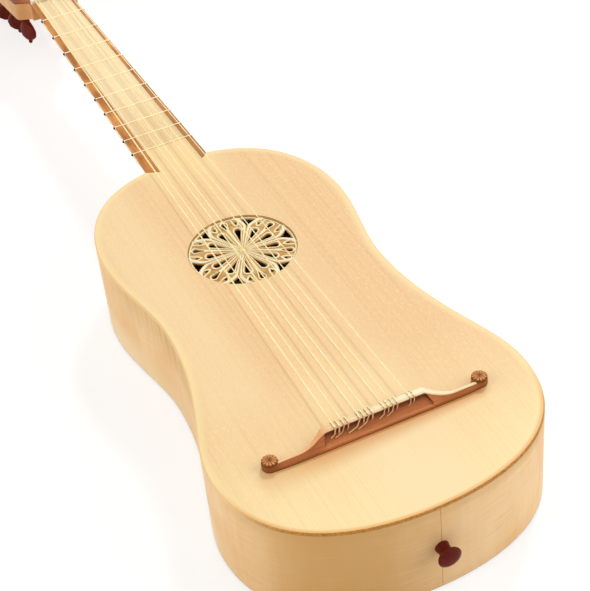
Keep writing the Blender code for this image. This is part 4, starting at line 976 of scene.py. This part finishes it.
def make_rose_ridges():
    """Carved ridges that lie on the pierced plate: collars, spokes, arches and the hub."""
    shape = bmesh.new()
    half_turn = math.pi / PETAL_COUNT
    for angle in ring_angles(2 * PETAL_COUNT, half_turn / 2):
        line = turned_points(drop_line(LONG_DROP, COLLAR_WIDTH / 2, HUB_RADIUS * 0.8), angle)
        ridge(shape, line, (0.0005, COLLAR_WIDTH, 0.0005), COLLAR_HEIGHT)
        ridge(shape, turned_points(small_line(), angle), (0.0015, 0.0015, 0.0015),
              SMALL_RIDGE_HEIGHT)
    for angle in ring_angles(PETAL_COUNT, half_turn):
        line = turned_points(drop_line(SHORT_DROP, COLLAR_WIDTH / 2, SHORT_DROP[0] - 0.0012),
                             angle)
        ridge(shape, line, (0.0006, COLLAR_WIDTH, 0.0006), COLLAR_HEIGHT)
        spoke = curved([(HUB_RADIUS * 0.7, 0.0), (SHORT_DROP[0] * 0.6, 0.0),
                        (SHORT_DROP[0] + 0.0004, 0.0)])
        ridge(shape, turned_points(spoke, angle), (0.0005, 0.0013, 0.0025), ARCH_HEIGHT)
    for angle in ring_angles(PETAL_COUNT):
        for side in (-1, 1):
            ridge(shape, turned_points(arch_line(side), angle), (0.0005, 0.0022, 0.0031),
                  ARCH_HEIGHT)
    rim = [Vector((math.cos(angle), math.sin(angle))) * (ROSE_RADIUS - 0.0007)
           for angle in ring_angles(120)]
    ridge(shape, rim, (0.0013, 0.0013, 0.0013), COLLAR_HEIGHT, closed=True)
    add_turned(shape, [(0.0, HUB_HEIGHT), (HUB_RADIUS * 0.22, HUB_HEIGHT * 0.96),
                       (HUB_RADIUS * 0.5, HUB_HEIGHT * 0.82), (HUB_RADIUS * 0.8, HUB_HEIGHT * 0.5),
                       (HUB_RADIUS, HUB_HEIGHT * 0.15), (HUB_RADIUS, -RIDGE_SINK),
                       (0.0, -RIDGE_SINK)], 48, Matrix.Translation((0, 0, ROSE_TOP_Z)))
    add_piece("rose_ridges", to_mesh(shape, "rose_ridges", 60), (TRACERY,), "guitar")


def add_turned(shape, profile, sides, place):
    """Add a turned form about Z from a profile of (radius, height), top to bottom."""
    rows = []
    for radius, height in profile:
        if radius == 0.0:
            rows.append([shape.verts.new(place @ Vector((0, 0, height)))])
            continue
        rows.append([shape.verts.new(place @ Vector((
            radius * math.cos(angle), radius * math.sin(angle), height)))
            for angle in ring_angles(sides)])
    for upper, lower in zip(rows, rows[1:]):
        for i in range(sides):
            j = (i + 1) % sides
            corners = [upper[i % len(upper)], lower[i % len(lower)], lower[j % len(lower)],
                       upper[j % len(upper)]]
            kept = [corner for k, corner in enumerate(corners) if corner not in corners[:k]]
            if len(kept) > 2:
                shape.faces.new(kept)


def curved_profile(profile, steps=5):
    """Return a turned profile with its corners eased into a curve."""
    return [(max(point.x, 0.0), point.y) for point in curved(profile, steps)]


def make_end_pin():
    """Turned pin with a bun head."""
    shaft = END_PIN_SHAFT_RADIUS
    head = END_PIN_HEAD_RADIUS
    neck = END_PIN_NECK_LENGTH
    top = neck + END_PIN_HEAD_THICKNESS
    outside = curved_profile([
        (0.0, top), (head * 0.35, top - head * 0.02), (head * 0.70, top - head * 0.10),
        (head * 0.93, top - head * 0.25), (head, mix(neck, top, 0.48)),
        (head * 0.90, mix(neck, top, 0.16)), (shaft * 1.14, neck - 0.0002),
        (shaft * 1.04, neck * 0.80), (shaft * 1.04, neck * 0.55), (shaft * 1.08, neck * 0.25),
        (shaft * 1.16, neck * 0.08), (shaft * 1.16, GLUE_GAP * 0.2)])
    profile = outside + [(shaft, -RIB_THICKNESS), (shaft, -0.010), (0.0, -0.010)]
    shape = bmesh.new()
    place = Matrix.Translation((0, TAIL_Y, END_PIN_Z)) @ Matrix.Rotation(math.pi / 2, 4, "X")
    add_turned(shape, profile, 64, place)
    add_piece("turned_end_pin", to_mesh(shape, "turned_end_pin", 50), (PIN_WOOD,), "guitar",
              ["end_pin"])


def arm_share(x):
    """Return how far along an arm's sweep a place is, from 0 at the block to 1."""
    return min(max((abs(x) - BRIDGE_BLOCK_HALF_WIDTH) / BRIDGE_SWEEP_LENGTH, 0.0), 1.0)


def bridge_top(x):
    return mix(BRIDGE_ARM_HEIGHT, BRIDGE_HEIGHT, (1 - arm_share(x)) ** 2)


def bridge_front(x):
    return mix(BRIDGE_ARM_FRONT_Y, BRIDGE_FRONT_Y, (1 - arm_share(x)) ** 1.5)


def bridge_slope(height):
    """Return the place of the bridge's sloping rear face at a height."""
    share = (BRIDGE_HEIGHT - height) / (BRIDGE_HEIGHT - BRIDGE_LEDGE_HEIGHT)
    return mix(BRIDGE_FRONT_Y - BRIDGE_TOP_DEPTH, BRIDGE_REAR_Y, share)


def bridge_foot(x):
    """Return the foot of the rear face, which runs into the pad's round end."""
    sweep_end = BRIDGE_BLOCK_HALF_WIDTH + BRIDGE_SWEEP_LENGTH
    share = min(max((abs(x) - sweep_end) / (BRIDGE_BUTTON_X - sweep_end), 0.0), 1.0)
    return mix(BRIDGE_REAR_Y, BRIDGE_BUTTON_Y - BRIDGE_PAD_RADIUS, share * share)


def bridge_section(x, recessed, flare=0.0):
    """Return the bridge's section, with the hollow behind the tie block or without it."""
    top = bridge_top(x) - BRIDGE_CAP_THICKNESS
    front = bridge_front(x)
    rear = bridge_slope(bridge_top(x))
    foot = bridge_foot(x)
    ledge = BRIDGE_LEDGE_HEIGHT
    shares = [step / 10 for step in range(1, 10)]
    if recessed:
        shares = [(share ** 2, (1 - share) ** 1.5 * 0.93) for share in shares]
    else:
        shares = [(share, 1 - share) for share in shares]
    section = [(0.0, front, -GLUE_GAP), (0.0, front, top), (0.0, rear, top)]
    section += [(1 - up, mix(rear, foot, back), mix(ledge, top, up)) for back, up in shares]
    section += [(1.0, foot, ledge), (1.0, foot, -GLUE_GAP)]
    return [Vector((x + math.copysign(flare * lean, x), y, BRIDGE_BASE_Z + z))
            for lean, y, z in section]


def add_loft(shape, rings):
    """Add a closed form through sections with equal counts of points."""
    rows = [[shape.verts.new(point) for point in ring_points] for ring_points in rings]
    for near, far in zip(rows, rows[1:]):
        for i in range(len(near)):
            j = (i + 1) % len(near)
            shape.faces.new((near[i], near[j], far[j], far[i]))
    shape.faces.new(rows[0])
    shape.faces.new(reversed(rows[-1]))


def arm_places(end):
    """Return the places across the treble arm where sections stand."""
    sweep_end = BRIDGE_BLOCK_HALF_WIDTH + BRIDGE_SWEEP_LENGTH
    places = [mix(BRIDGE_BLOCK_HALF_WIDTH, sweep_end, step / 20) for step in range(1, 21)]
    return places + [mix(sweep_end, end, step / 8) for step in range(1, 9)]


def make_bridge():
    """Bridge with its hollow, sweeping arms and the pads under the buttons."""
    block = BRIDGE_BLOCK_HALF_WIDTH
    flare = BRIDGE_RECESS_FLARE
    treble = [(block - GLUE_GAP, True, flare), (block, False, flare)]
    treble += [(x, False, flare * max(0.0, 1 - 3 * arm_share(x)))
               for x in arm_places(BRIDGE_BUTTON_X)]
    bass = [(-x, recessed, lean) for x, recessed, lean in reversed(treble)]
    shape = bmesh.new()
    add_loft(shape, [bridge_section(*place) for place in bass + treble])
    pad = [(0.0, BRIDGE_PAD_HEIGHT + GLUE_GAP), (BRIDGE_PAD_RADIUS * 0.96,
            BRIDGE_PAD_HEIGHT + GLUE_GAP), (BRIDGE_PAD_RADIUS, BRIDGE_PAD_HEIGHT),
           (BRIDGE_PAD_RADIUS, -GLUE_GAP), (0.0, -GLUE_GAP)]
    for side in (-1, 1):
        place = Matrix.Translation((side * BRIDGE_BUTTON_X, BRIDGE_BUTTON_Y, BRIDGE_BASE_Z))
        add_turned(shape, pad, 64, place)
    add_piece("carved_bridge", to_mesh(shape, "carved_bridge"), (BRIDGE_WOOD,), "guitar",
              ["bridge"])


def make_bridge_cap():
    """Pale strip along the top of the tie block and the arms, with eased edges."""
    end = BRIDGE_BUTTON_X - BRIDGE_BUTTON_RADIUS * 0.8
    treble = [BRIDGE_BLOCK_HALF_WIDTH * share for share in (0.33, 0.66, 1.0)] + arm_places(end)
    ease = BRIDGE_CAP_THICKNESS * 0.35
    rings = []
    for x in [-x for x in reversed(treble)] + treble:
        top = BRIDGE_BASE_Z + bridge_top(x)
        low = top - BRIDGE_CAP_THICKNESS - GLUE_GAP
        front = bridge_front(x) + 0.0001
        rear = bridge_slope(bridge_top(x)) - 0.0003 * (1 - arm_share(x))
        if x < 0:
            rear += 0.0010 * min(1.0, arm_share(x) * 4) * (1 - arm_share(x) * 0.5)
        rings.append([Vector((x, front, low)), Vector((x, front, top - ease)),
                      Vector((x, front - ease, top)), Vector((x, rear + ease, top)),
                      Vector((x, rear, top - ease)), Vector((x, rear, low))])
    shape = bmesh.new()
    add_loft(shape, rings)
    add_piece("pale_cap", to_mesh(shape, "pale_cap"), (CAP_WOOD,), "guitar",
              ["bridge_cap"])


def make_buttons():
    """Round buttons with grooves that run out from the middle like a daisy's petals."""
    radius = BRIDGE_BUTTON_RADIUS
    thick = BRIDGE_BUTTON_THICKNESS
    rows_at = [(0.05, 0.88), (0.16, 0.97), (0.30, 1.0), (0.45, 1.0), (0.60, 0.98), (0.75, 0.95),
               (0.88, 0.88), (0.96, 0.78), (1.0, 0.62), (1.0, 0.30), (0.97, 0.0)]
    sides = BUTTON_GROOVES * 10
    for name, side in (("bass", -1), ("treble", 1)):
        centre = Vector((side * BRIDGE_BUTTON_X, BRIDGE_BUTTON_Y,
                         BRIDGE_BASE_Z + BRIDGE_PAD_HEIGHT + GLUE_GAP * 0.7))
        shape = bmesh.new()
        middle = shape.verts.new(centre + Vector((0, 0, thick * 0.84)))
        rows = []
        for share, rise in rows_at:
            row = []
            for angle in ring_angles(sides):
                edge = abs(math.sin(angle * BUTTON_GROOVES / 2))
                cut = max(0.0, 1 - edge / 0.55) * min(1.0, share * 5) * min(1.0, rise * 1.5)
                out = radius * share * (1 - 0.04 * cut * share)
                row.append(shape.verts.new(centre + Vector((
                    out * math.cos(angle), out * math.sin(angle),
                    thick * rise - BUTTON_GROOVE_DEPTH * cut))))
            rows.append(row)
        for near, far in zip(rows, rows[1:]):
            for i in range(sides):
                j = (i + 1) % sides
                shape.faces.new((near[i], far[i], far[j], near[j]))
        for i in range(sides):
            shape.faces.new((middle, rows[0][i], rows[0][(i + 1) % sides]))
        shape.faces.new(rows[-1])
        mesh = to_mesh(shape, f"daisy_button_{name}", 50)
        add_piece(f"daisy_button_{name}", mesh, (BUTTON_WOOD,), "guitar",
                  [f"bridge_button_{name}"])


def make_floor():
    """Wide white floor that keeps the guitar's shadow."""
    shape = bmesh.new()
    bmesh.ops.create_grid(shape, x_segments=1, y_segments=1, size=4.0)
    mesh = to_mesh(shape, "floor")
    floor = bpy.data.objects.new("floor", mesh)
    floor.location.z = -0.0004
    finish = Finish("floor_white", roughness=0.9, specular=0.0)
    seen = finish.node("ShaderNodeLightPath").outputs["Is Camera Ray"]
    finish.colour(finish.blend((0.86, 0.86, 0.86), (0.42, 0.42, 0.42), seen))
    finish.glow(finish.blend((0.0, 0.0, 0.0), (0.66, 0.66, 0.66), seen), 1.0)
    mesh.materials.append(finish.material)
    bpy.context.scene.collection.objects.link(floor)


def make_lights():
    """Soft light from all round, a lamp past the head and a broad one on either side."""
    world = bpy.data.worlds.new("studio")
    bpy.context.scene.world = world
    world.use_nodes = True
    tree = world.node_tree
    soft = tree.nodes["Background"]
    soft.inputs["Color"].default_value = (1.0, 0.985, 0.96, 1.0)
    soft.inputs["Strength"].default_value = 0.55
    white = tree.nodes.new("ShaderNodeBackground")
    white.inputs["Color"].default_value = (1.0, 1.0, 1.0, 1.0)
    white.inputs["Strength"].default_value = 1.0
    path = tree.nodes.new("ShaderNodeLightPath")
    seen = path.outputs["Is Camera Ray"]
    for name in ("Is Glossy Ray", "Is Transmission Ray"):
        either = tree.nodes.new("ShaderNodeMath")
        either.operation = "MAXIMUM"
        tree.links.new(seen, either.inputs[0])
        tree.links.new(path.outputs[name], either.inputs[1])
        seen = either.outputs[0]
    choice = tree.nodes.new("ShaderNodeMixShader")
    tree.links.new(seen, choice.inputs[0])
    tree.links.new(soft.outputs[0], choice.inputs[1])
    tree.links.new(white.outputs[0], choice.inputs[2])
    tree.links.new(choice.outputs[0], tree.nodes["World Output"].inputs["Surface"])
    make_lamp("head_lamp", (0.50, 0.55, 0.75), 0.9, 9)
    make_lamp("treble_lamp", (0.90, -0.35, 0.34), 1.25, 60)
    make_lamp("bass_lamp", (-0.92, 0.05, 0.30), 1.1, 60)


def make_lamp(name, towards, strength, spread):
    """A broad lamp far off; its direction points from the guitar to the lamp."""
    lamp = bpy.data.lights.new(name, "SUN")
    lamp.energy = strength
    lamp.angle = math.radians(spread)
    lamp.color = (1.0, 0.985, 0.96)
    holder = bpy.data.objects.new(name, lamp)
    holder.rotation_mode = "QUATERNION"
    holder.rotation_quaternion = Vector(towards).to_track_quat("Z", "Y")
    bpy.context.scene.collection.objects.link(holder)


def make_camera():
    """Camera at the photograph's angle."""
    azimuth = CAMERA_AZIMUTH
    rise = CAMERA_ELEVATION
    back = Vector((math.sin(azimuth) * math.cos(rise), -math.cos(azimuth) * math.cos(rise),
                   math.sin(rise)))
    right = (-back).cross(Vector((0, 0, 1))).normalized()
    up = right.cross(-back)
    c, s = math.cos(CAMERA_ROLL), math.sin(CAMERA_ROLL)
    turned = Matrix((c * right + s * up, c * up - s * right, back)).transposed()
    data = bpy.data.cameras.new("camera")
    longer = max(IMAGE_WIDTH, IMAGE_HEIGHT)
    data.sensor_width = 36
    data.lens = FOCAL_PIXELS * data.sensor_width / longer
    data.shift_x = (IMAGE_WIDTH / 2 - IMAGE_CENTRE[0]) / longer
    data.shift_y = (IMAGE_CENTRE[1] - IMAGE_HEIGHT / 2) / longer
    data.clip_start = 0.01
    camera = bpy.data.objects.new("camera", data)
    camera.matrix_world = Matrix.Translation(CAMERA_TARGET + back * CAMERA_DISTANCE) @ turned.to_4x4()
    bpy.context.scene.collection.objects.link(camera)
    bpy.context.scene.camera = camera


make_camera()
make_soundboard()
make_ribs()
make_back()
make_rose_ridges()
make_bridge()
make_bridge_cap()
make_buttons()
make_end_pin()
dress_nodes()
make_floor()
make_lights()
bpy.context.scene.view_settings.view_transform = "Standard"
